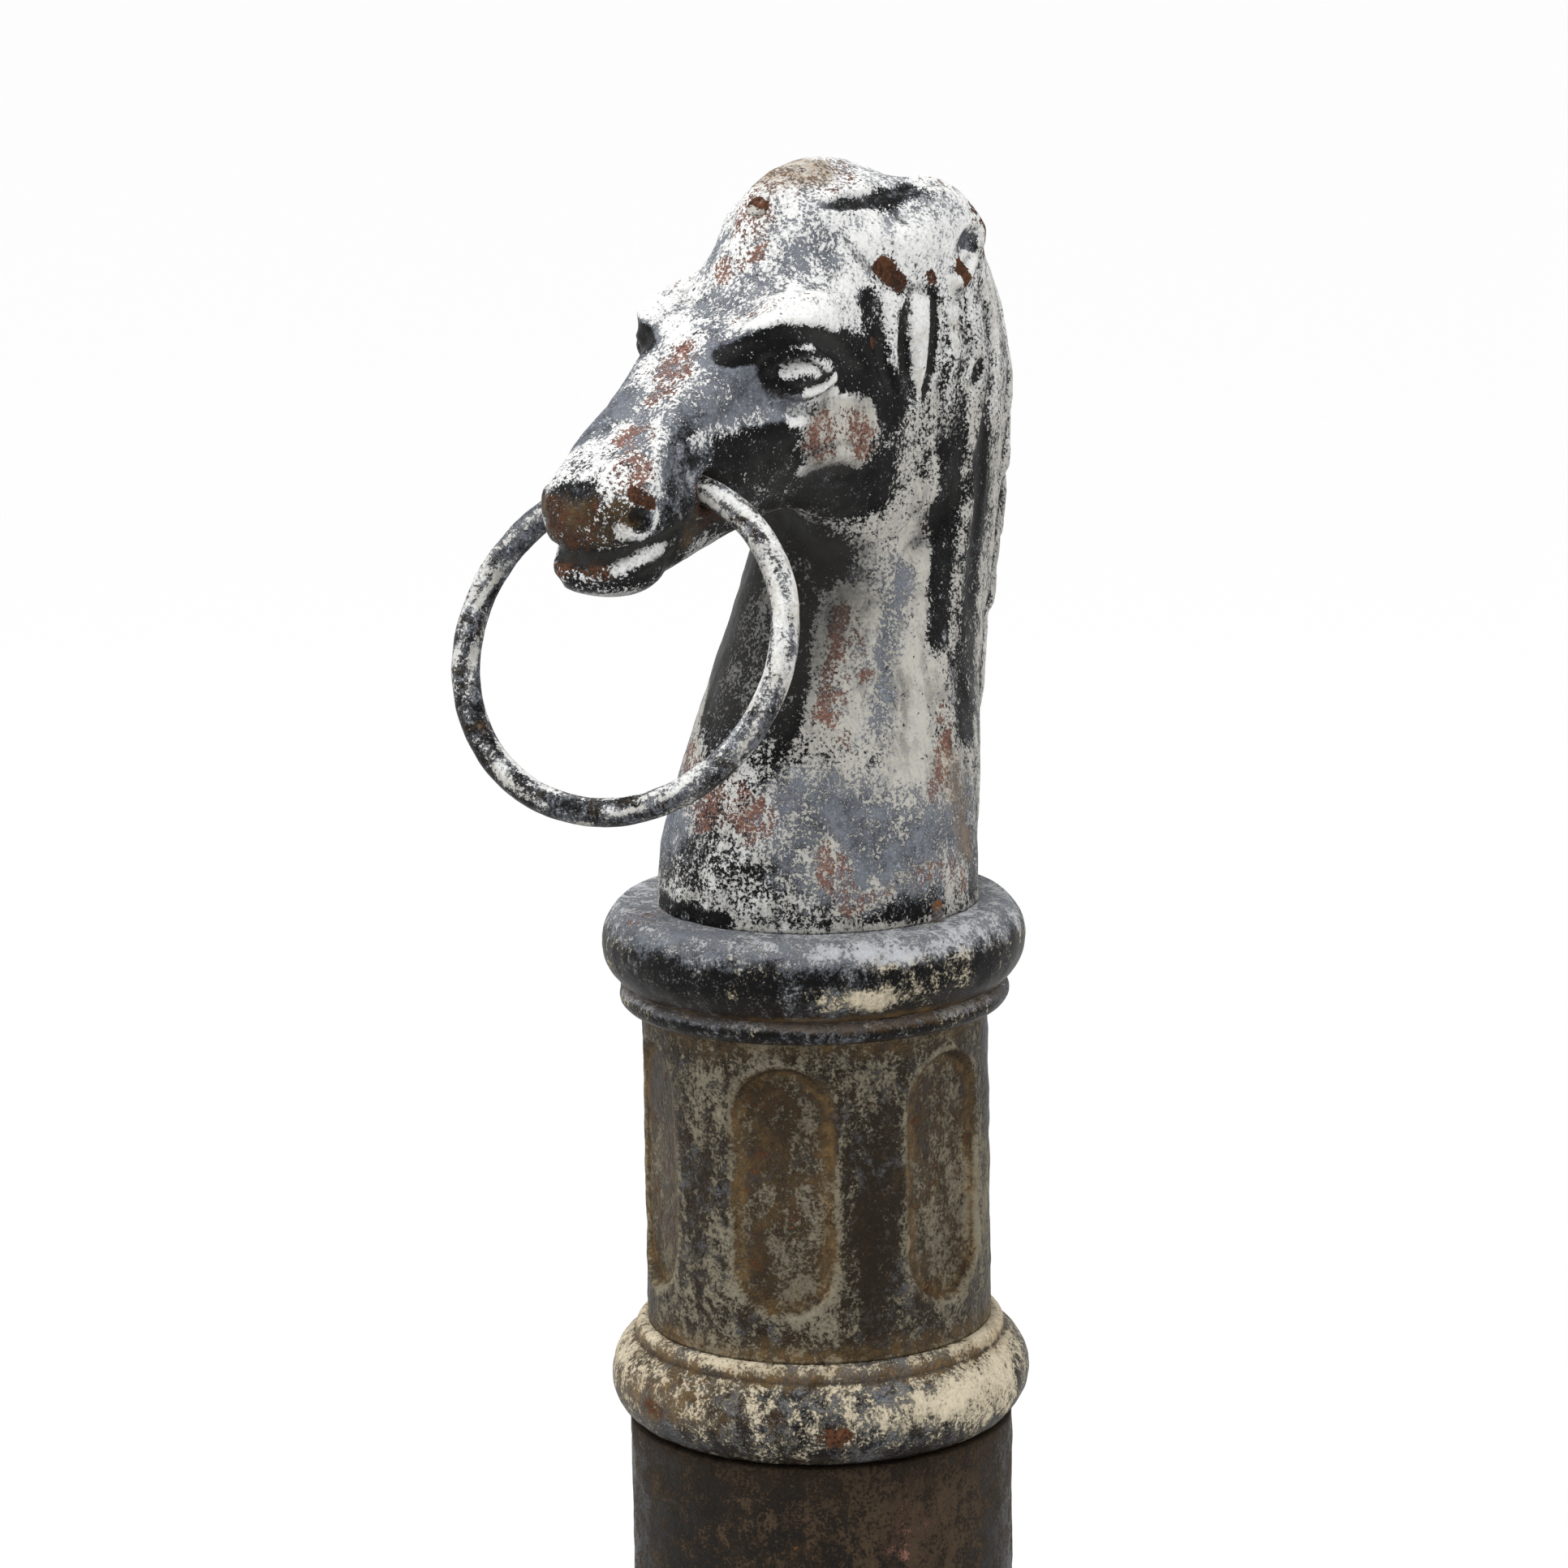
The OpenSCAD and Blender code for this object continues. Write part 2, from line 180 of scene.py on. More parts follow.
def egg(p, centre, radii, pitch=0, yaw=0):
    """Ellipsoid, pitched about X and then turned about Z."""
    q = p - np.array(centre, F)
    c, s = math.cos(math.radians(yaw)), math.sin(math.radians(yaw))
    q = np.stack([c * q[:, 0] + s * q[:, 1], c * q[:, 1] - s * q[:, 0], q[:, 2]], 1)
    c, s = math.cos(math.radians(pitch)), math.sin(math.radians(pitch))
    q = np.stack([q[:, 0], c * q[:, 1] + s * q[:, 2], c * q[:, 2] - s * q[:, 1]], 1)
    r = np.array(radii, F)
    near = np.sqrt(((q / r) ** 2).sum(1))
    slope = np.sqrt(((q / r**2) ** 2).sum(1)) + F(1e-6)
    return near * (near - 1) / slope


def taper(p, a, b, ra, rb):
    """Round bar from a to b with end radii ra and rb."""
    a, b = np.array(a, F), np.array(b, F)
    t = np.clip((p - a) @ (b - a) / ((b - a) @ (b - a)), 0, 1)
    return np.sqrt(((p - a - t[:, None] * (b - a)) ** 2).sum(1)) - ra - t * (rb - ra)


def bar(p, a, b, ends_a, ends_b):
    """Flat-sided bar in the plane X = 0; each end is (half width, half height, edge radius)."""
    a, b, ends_a, ends_b = (np.array(v, F) for v in (a, b, ends_a, ends_b))
    size = np.sqrt(((b - a) ** 2).sum())
    along = (b - a) / size
    up = np.array([0, -along[2], along[1]], F)
    s = (p - a) @ along
    ends = ends_a + np.clip(s / size, 0, 1)[:, None] * (ends_b - ends_a)
    out = np.stack(
        [
            np.abs(p[:, 0]) - ends[:, 0] + ends[:, 2],
            np.abs((p - a) @ up) - ends[:, 1] + ends[:, 2],
            np.maximum(s - size, -s),
        ],
        1,
    )
    return np.sqrt((np.maximum(out, 0) ** 2).sum(1)) + np.minimum(out.max(1), 0) - ends[:, 2]


def near_line(p, line, width, fade=0.0):
    """The points within width of a line of points: their numbers, and 1 on the line falling to 0 at width.
    An open line also dies away over the length fade at its ends."""
    line = np.array(line, F)
    inside = ((p > line.min(0) - width) & (p < line.max(0) + width)).all(1)
    at = np.flatnonzero(inside)
    q = p[at]
    best = np.full(len(at), width, F) ** 2
    place = np.zeros(len(at), F)
    run = 0.0
    for a, b in zip(line[:-1], line[1:]):
        d = b - a
        size = math.sqrt(float(d @ d))
        t = np.clip((q - a) @ d / size**2, 0, 1)
        away = ((q - a - t[:, None] * d) ** 2).sum(1)
        closer = away < best
        best[closer] = away[closer]
        place[closer] = run + t[closer] * size
        run += size
    near = 1 - np.sqrt(best) / width
    if fade and not np.allclose(line[0], line[-1]):
        near *= np.clip(0.25 + 0.75 * np.minimum(place, run - place) / min(fade, run / 2), 0, 1)
    return at, near


def ripple(p, size, seed=0):
    """Smooth lumps of about the given size, from -1 to 1, made of a few crossed waves."""
    rng = np.random.default_rng(seed)
    total = np.zeros(len(p), F)
    waves = 12
    for _ in range(waves):
        way = rng.normal(size=3)
        way *= rng.uniform(0.7, 1.5) / np.linalg.norm(way) * 2 * math.pi / size
        bend = rng.normal(size=3) * math.pi / size
        total += np.sin(p @ way.astype(F) + F(rng.uniform(0, 6)) + 1.3 * np.sin(p @ bend.astype(F)))
    return total / F(math.sqrt(waves) * 1.5)


# ---- Head ----

# Neck stations: height over the foot, middle in Y, half width, half depth
NECK = np.array(
    [
        (-11, 3, 64, 64),
        (19, 4, 62, 62.5),
        (54, 12, 56, 61.5),
        (83, 20, 49, 59.5),
        (112, 30.5, 43.5, 58),
        (139, 40, 41, 56),
        (169, 46, 40.5, 54),
        (199, 49, 41, 52.5),
        (229, 48, 39, 50),
        (254, 43, 36, 44.5),
        (279, 36, 30, 37),
    ]
)
CREST_Z = 273


def smooth_between(x, known, values):
    """Smooth curve through the stations' values."""
    slope = np.gradient(values, known)
    i = np.clip(np.searchsorted(known, x) - 1, 0, len(known) - 2)
    h = known[i + 1] - known[i]
    s = (x - known[i]) / h
    return (
        values[i] * (2 * s**3 - 3 * s**2 + 1)
        + slope[i] * h * (s**3 - 2 * s**2 + s)
        + values[i + 1] * (3 * s**2 - 2 * s**3)
        + slope[i + 1] * h * (s**3 - s**2)
    ).astype(F)


def neck_field(p):
    z = np.clip(p[:, 2], NECK[0, 0], NECK[-1, 0])
    middle, half, deep = (smooth_between(z, NECK[:, 0], NECK[:, n]) for n in (1, 2, 3))
    side = (np.sqrt((p[:, 0] / half) ** 2 + ((p[:, 1] - middle) / deep) ** 2) - 1) * np.minimum(half, deep)
    return -blend(-side, CREST_Z - p[:, 2], 30)


# What the head is built from, each with the fillet that joins it to those before it
HEAD_FORMS = (
    (egg, ((0, 12, 236), (37, 52, 50)), 1),
    (egg, ((0, 6, 258.5), (21, 38, 27.5), -3), 12),
    (egg, ((0, -30, 219), (38, 40, 28), 41), 12),
    (egg, ((24, 46, 264), (13, 24, 14), -18), 10),
    (bar, ((0, -50, 206), (0, -111, 167), (27, 25, 14), (21.5, 18.5, 12)), 12),
    (egg, ((32, -44, 230), (9, 18, 8), 3, -8), 11),
    (egg, ((13, -36, 190), (18, 42, 23), 36), 10),
    (egg, ((19, 0, 190), (20.5, 42, 38)), 12),
    (taper, ((0, -30, 180), (0, -103, 151), 21, 14), 10),
    (egg, ((0, -109, 166), (24, 21, 21.5)), 10),
    (egg, ((0, -111, 145.5), (19, 20, 9.5)), 5),
)

# Sculpting strokes on each side of the head: height in (minus) or out of the surface, width to either
# side, and then the points of the line. The same stroke is made on the other side.
STROKES = (
    # Fullness over the brow, the brow's edge, then the crease under it
    (3.2, 17, (16, -56, 238), (28, -44, 243), (35, -28, 242), (37, -10, 236)),
    (0.8, 8, (22, -63, 232), (31, -56, 236), (39, -44, 236), (40, -28, 233), (39, -14, 226)),
    (
        -3.8, 5.5, (20, -66, 225), (31, -61, 229), (39, -50, 230), (41, -38, 228), (39, -22, 221),
        (37, -8, 212),
    ),
    # Eye socket, lids, and the hollow under them
    (-3.6, 11, (31, -55, 213), (37, -42, 214), (38, -30, 211)),
    (
        3.6, 3.8, (29, -57, 215), (34, -55, 219.5), (39, -48, 222), (39.5, -39, 221), (39, -30, 216),
        (37, -24, 210),
    ),
    (2.9, 3.2, (30, -57, 213.5), (34, -49, 208.5), (36, -40, 206.5), (38, -32, 207.5), (38, -25, 210.5)),
    (-2.2, 5, (31, -54, 204), (34, -45, 200), (37, -33, 200), (38, -24, 204)),
    # Cheekbone, and the fold below it
    (2, 10, (37, -26, 197), (34, -44, 196), (29, -58, 198), (25, -72, 194), (24, -88, 187)),
    (-1.6, 9, (35, -40, 184), (29, -58, 183), (25, -74, 179)),
    (2.4, 4.4, (31, -40, 176), (34, -31, 180), (36, -21, 181.5), (38, -6, 177)),
    (-1.4, 6, (33, -36, 172), (36, -21, 174), (38, -8, 171)),
    # Edge of the jaw and the hollow behind it
    (2.2, 10, (12, -16, 148), (27, -2, 150), (34, 8, 154), (38, 20, 160), (40, 34, 170), (41, 46, 182)),
    (-3.2, 9, (18, 10, 134), (34, 22, 142), (40, 34, 152), (42, 48, 163), (42, 58, 180)),
    # Nose: hard edge down to the nostril, hollow side
    (1.5, 6, (17, -92, 204), (21, -103, 193), (24, -109, 184), (25, -113, 177)),
    (-2.2, 13, (28, -100, 180), (27, -86, 183), (30, -72, 191)),
    # Nostril: raised rim, hole, and the knob in it
    (
        2.2, 3.8, (23, -118.5, 174.5), (20.5, -122.5, 173), (19.5, -123.5, 168.5), (20.5, -121.5, 164.5),
        (22.5, -118.5, 163), (25, -115, 165), (25.5, -113, 169), (25, -114.5, 173), (23, -118.5, 174.5),
    ),
    (-6.5, 4.2, (22, -120, 171), (22.5, -118.5, 167.5)),
    (1.8, 2.2, (21, -118, 168.5), (21.5, -117.5, 167)),
    # Mouth: the line, the upper lip over it, the lower lip, the groove over the chin
    (
        -4, 3.6, (0, -130, 153), (7, -129, 153), (14, -125, 153.5), (20, -119, 155.5), (24, -111, 158.5),
        (21, -92, 163),
    ),
    (1.4, 6, (0, -131, 161), (10, -129, 160.5), (18, -123, 161), (24, -113, 165)),
    (1.4, 5, (0, -131, 148.5), (9, -129, 148.5), (16, -122, 149), (21, -113, 151.5), (22, -102, 155)),
    (-1.4, 4, (0, -132, 142.5), (9, -129, 142), (15, -122, 142.5), (19, -114, 144), (21, -103, 149)),
    # Corner of the mouth: a lip round the ring's hole
    (
        1.4, 4.5, (25, -74, 184), (26, -84, 184), (25, -89, 176), (23, -86, 166), (22, -77, 164),
        (23, -70, 170),
    ),
    # Ear, laid back: its body, the grooves over and under it, its tip, hollow and lower lobe
    (5.2, 17, (30, 4, 262), (35, 16, 258), (36, 30, 259), (35, 46, 260)),
    (-3.6, 4.5, (19, -14, 272), (26, 6, 274), (29, 22, 277), (31, 40, 280), (32, 54, 276)),
    (-2.4, 5, (28, -10, 263), (35, -2, 251), (39, 9, 242), (40, 26, 239), (40, 38, 240)),
    (-2.2, 4, (31, 17, 271), (35, 20, 262), (39, 24, 252)),
    (4, 8, (34, 56, 264), (35, 62, 258), (36, 60, 250)),
    (-6.5, 5, (40, 45, 252), (40, 53, 257), (38, 60, 259)),
    (3, 5.5, (39, 61, 252), (40, 55, 246), (40, 47, 241), (39, 38, 240)),
    # Locks of hair that hang below the ear
    (3.4, 6.5, (39, 22, 240), (40, 23, 230), (40, 21, 218), (40, 21, 204)),
    (-2.6, 3.2, (39, 20, 241), (39, 15, 231), (39, 12.5, 220), (39, 13.5, 209), (40, 19, 198)),
    (-2.6, 3.2, (40, 29, 240), (40, 31.5, 231), (40, 30, 220), (40, 28, 208), (40, 23, 198)),
    (2.2, 5, (38, 9, 240), (38, 8, 228), (38, 8, 214), (39, 11, 203)),
    (-1.6, 4, (37, 3, 240), (37, 1, 226), (38, 2, 212), (39, 7, 200)),
    (1.6, 7, (41, 42, 232), (42, 41, 214), (42, 36, 196)),
    # Edge of the mane down the neck, and the groove behind it
    (
        2.2, 8, (38, 50, 240), (40, 54, 225), (41, 57, 209), (42, 53, 190), (42, 51, 172), (43, 46, 146),
        (44, 40, 116),
    ),
    (
        -2.4, 6, (36, 62, 238), (38, 66, 224), (39, 68, 208), (41, 63, 190), (42, 60, 172), (43, 55, 146),
        (45, 50, 116),
    ),
    (-3.2, 3.8, (40, 58, 212), (41, 55, 205), (41, 51, 199)),
    # Forelock and the folds on top of the head
    (-1.2, 9, (11, 34, 287), (13, 10, 286), (13, -10, 280), (11, -28, 268), (8, -42, 251)),
    (1.2, 10, (22, 28, 281), (23, 4, 278), (22, -14, 270), (18, -30, 260)),
)
MANE_LOCKS = 7


def mane_strokes():
    """Wavy locks that run back and down from the crest of the neck, the same on both sides."""
    for n in range(MANE_LOCKS):
        z = 266 - 27 * n
        line = []
        for step in range(6):
            drop = z - 13 * step - step * step
            back = float(np.interp(drop, NECK[:, 0], NECK[:, 1] + NECK[:, 3]))
            x = 2 + 6.4 * step
            line.append((x, back - 0.011 * x * x - 1 + 1.5 * math.sin(n + step), drop))
        yield 2.6, 6.5, *line
        yield -2.0, 4, *((x + 1, y, z - 11) for x, y, z in line)


def rounded(line, steps=3):
    """The line with its corners rounded: a smooth curve through the same points."""
    p = np.array([line[0], *line, line[-1]], float)
    if np.allclose(line[0], line[-1]):
        p[0], p[-1] = line[-2], line[1]
    t = np.arange(steps)[:, None] / steps
    curve = [
        0.5 * (2 * b + (c - a) * t + (2 * a - 5 * b + 4 * c - d) * t**2 + (3 * b - a - 3 * c + d) * t**3)
        for a, b, c, d in zip(p, p[1:], p[2:], p[3:])
    ]
    return np.concatenate(curve + [p[-2:-1]])


ALL_STROKES = tuple((height, width, rounded(line)) for height, width, *line in (*STROKES, *mane_strokes()))
# The eyeball goes in when its socket is there
EYE = ((31, -40.5, 214), (8, 12.5, 6.0), 0, -12)
EYE_AFTER = 4


RING_R, BAR_R = 64.7, 5.5
# The bar is curved where it crosses the mouth: by this much at the middle, and the other way outside
BOW_IN_HEAD = 2.7
HOLE_R = BAR_R + 0.5


def hole_of_the_ring(p, foot):
    """The hole across the mouth: just the room that the curved bar needs as it swings."""
    joint = frame["joints"][0]
    way = np.array(joint["axis"], F)
    q = p - (np.array(joint["pos_m"], F) / F(MM) - foot)
    along = q @ way
    away = np.sqrt(np.maximum((q * q).sum(1) - along**2, 0))
    bow = RING_R - np.sqrt(np.maximum(RING_R**2 - along**2, 0))
    return away - HOLE_R - np.abs(bow - BOW_IN_HEAD)


def head_field(points, foot):
    """The sculpted head. Points are in millimetres from the middle of the neck's foot."""
    p = points.copy()
    p[:, 0] = np.abs(p[:, 0])
    total = None
    for form, values, fillet in HEAD_FORMS:
        added = form(p, *values)
        total = added if total is None else blend(total, added, fillet)
    total = blend(total, neck_field(p), 16)
    for n, (height, width, line) in enumerate(ALL_STROKES):
        if n == EYE_AFTER:
            total = blend(total, egg(p, *EYE), 1.5)
        at, t = near_line(p, line, width, 2.5 * width)
        total[at] -= height * t * t * (3 - 2 * t)
    total -= 0.45 * ripple(points, 26, 1) + 0.14 * ripple(points, 9, 2)
    total = cut(total, hole_of_the_ring(points, foot), 2.5)
    return np.maximum(total, -points[:, 2])


# Half the diagonal of a block of cells, in sides of the block
HALF_DIAGONAL = 0.87
# The most that a point moves at once on its way to the surface, in cells
LONGEST_STEP = 0.6


def skin(field, low, high, cell, margin):
    """Closed quad mesh on the zero surface of a field: its points and its faces. The field is worked out
    only in blocks of cells that may touch the surface; margin is how far it may be out at their middles."""
    block = 6
    blocks = np.ceil((high - low) / (cell * block)).astype(int)
    size = blocks * block
    first = np.stack(np.meshgrid(*[np.arange(n) * block for n in blocks], indexing="ij"), -1).reshape(-1, 3)
    middle = field((low + (first + (block - 1) / 2) * cell).astype(F))
    values = np.where(middle < 0, F(-1), F(1))
    grid = values.reshape(blocks).repeat(block, 0).repeat(block, 1).repeat(block, 2)
    close = first[np.abs(middle) < cell * block * HALF_DIAGONAL + margin]
    inner = np.stack(np.meshgrid(*[np.arange(block)] * 3, indexing="ij"), -1).reshape(-1, 3)
    batch = 1500
    for n in range(0, len(close), batch):
        index = (close[n : n + batch, None] + inner).reshape(-1, 3)
        grid[index[:, 0], index[:, 1], index[:, 2]] = field((low + index * cell).astype(F))
    for axis in range(3):
        np.moveaxis(grid, axis, 0)[[0, -1]] = 1
    stride = np.array([size[1] * size[2], size[2], 1])
    flat = grid.reshape(-1)
    sign = grid < 0
    changes = [np.diff(sign, axis=axis) for axis in range(3)]
    # A cell's twelve edges: the way each one runs, and the corner it starts at
    cell_edges = [(axis, np.insert([u, v], axis, 0)) for axis in range(3) for u in (0, 1) for v in (0, 1)]
    near = np.zeros(size - 1, bool)
    for axis, corner in cell_edges:
        near |= changes[axis][tuple(slice(c, n - 1 + c) for c, n in zip(corner, size))]
    cells = np.argwhere(near)
    total, count = np.zeros((len(cells), 3)), np.zeros(len(cells))
    for axis, corner in cell_edges:
        at = (cells + corner) @ stride
        a, b = flat[at], flat[at + stride[axis]]
        crossed = (a < 0) != (b < 0)
        step = np.zeros((len(cells), 3)) + corner
        step[:, axis] = np.where(crossed, a / np.where(crossed, a - b, 1), 0)
        total += step * crossed[:, None]
        count += crossed
    points = low + (cells + total / count[:, None]) * cell
    for _ in range(2):
        points -= np.clip(settle(field, points), -LONGEST_STEP * cell, LONGEST_STEP * cell)
    number = np.full(size, -1)
    number[tuple(cells.T)] = np.arange(len(cells))
    faces = []
    for axis in range(3):
        one, two = (np.eye(3, dtype=int)[(axis + n) % 3] for n in (1, 2))
        a = np.argwhere(changes[axis])
        quad = np.stack([number[tuple((a - s).T)] for s in (0 * one, one, one + two, two)], 1)
        outward = sign[tuple(a.T)]
        faces.append(np.where(outward[:, None], quad, quad[:, ::-1]))
    return points, np.concatenate(faces)


def slope_of(field, points, step=0.4):
    p = points.astype(F)
    return np.stack([field(p + step * e) - field(p - step * e) for e in np.eye(3, dtype=F)], 1) / (2 * step)


def settle(field, points):
    """How far each point stands off the surface, as a vector."""
    slope = slope_of(field, points)
    return slope * (field(points.astype(F)) / np.maximum((slope**2).sum(1), 0.2))[:, None]


def make_mesh(name, points, faces, layers=None):
    """A smooth-shaded mesh object from millimetre points, with paint layers as vertex attributes."""
    mesh = bpy.data.meshes.new(name)
    mesh.vertices.add(len(points))
    mesh.vertices.foreach_set("co", (points * MM).astype(F).ravel())
    mesh.loops.add(faces.size)
    mesh.loops.foreach_set("vertex_index", faces.astype(np.int32).ravel())
    mesh.polygons.add(len(faces))
    mesh.polygons.foreach_set("loop_start", np.arange(0, faces.size, faces.shape[1], dtype=np.int32))
    mesh.update(calc_edges=True)
    mesh.validate()
    mesh.shade_smooth()
    for layer, values in (layers or {}).items():
        attribute = mesh.attributes.new(layer, "FLOAT", "POINT")
        attribute.data.foreach_set("value", np.asarray(values, F))
    piece = bpy.data.objects.new(name, mesh)
    bpy.context.scene.collection.objects.link(piece)
    return piece


# ---- Paint ----
#
# Every painted piece carries these layers on its vertices: coat (how much of the dark coat is left), slate
# (how far it has weathered to grey), chalk (white rather than beige under it), primer, rust, stain (ochre
# run-off) and a layer of grime and shade (soot and dirt, and painted shade under the iron, in its hollows
# and where parts meet).

NEUTRAL = dict(coat=0.42, slate=0.25, chalk=0.45, primer=0.0, rust=0.0, stain=0.0, grime=0.0)
# A mark of primer also moves the coat towards this level, by this share of what it moves the primer
PRIMER_COAT, PRIMER_SHARE = 0.24, F(0.75)
LEFT = "horse's left"
# Short strokes under the eye: the height of each one's top, and its drop
HATCHING = ((193, 4), (196, 9), (196, 5), (199, 8), (198, 4), (201, 9), (200, 5), (203, 8))
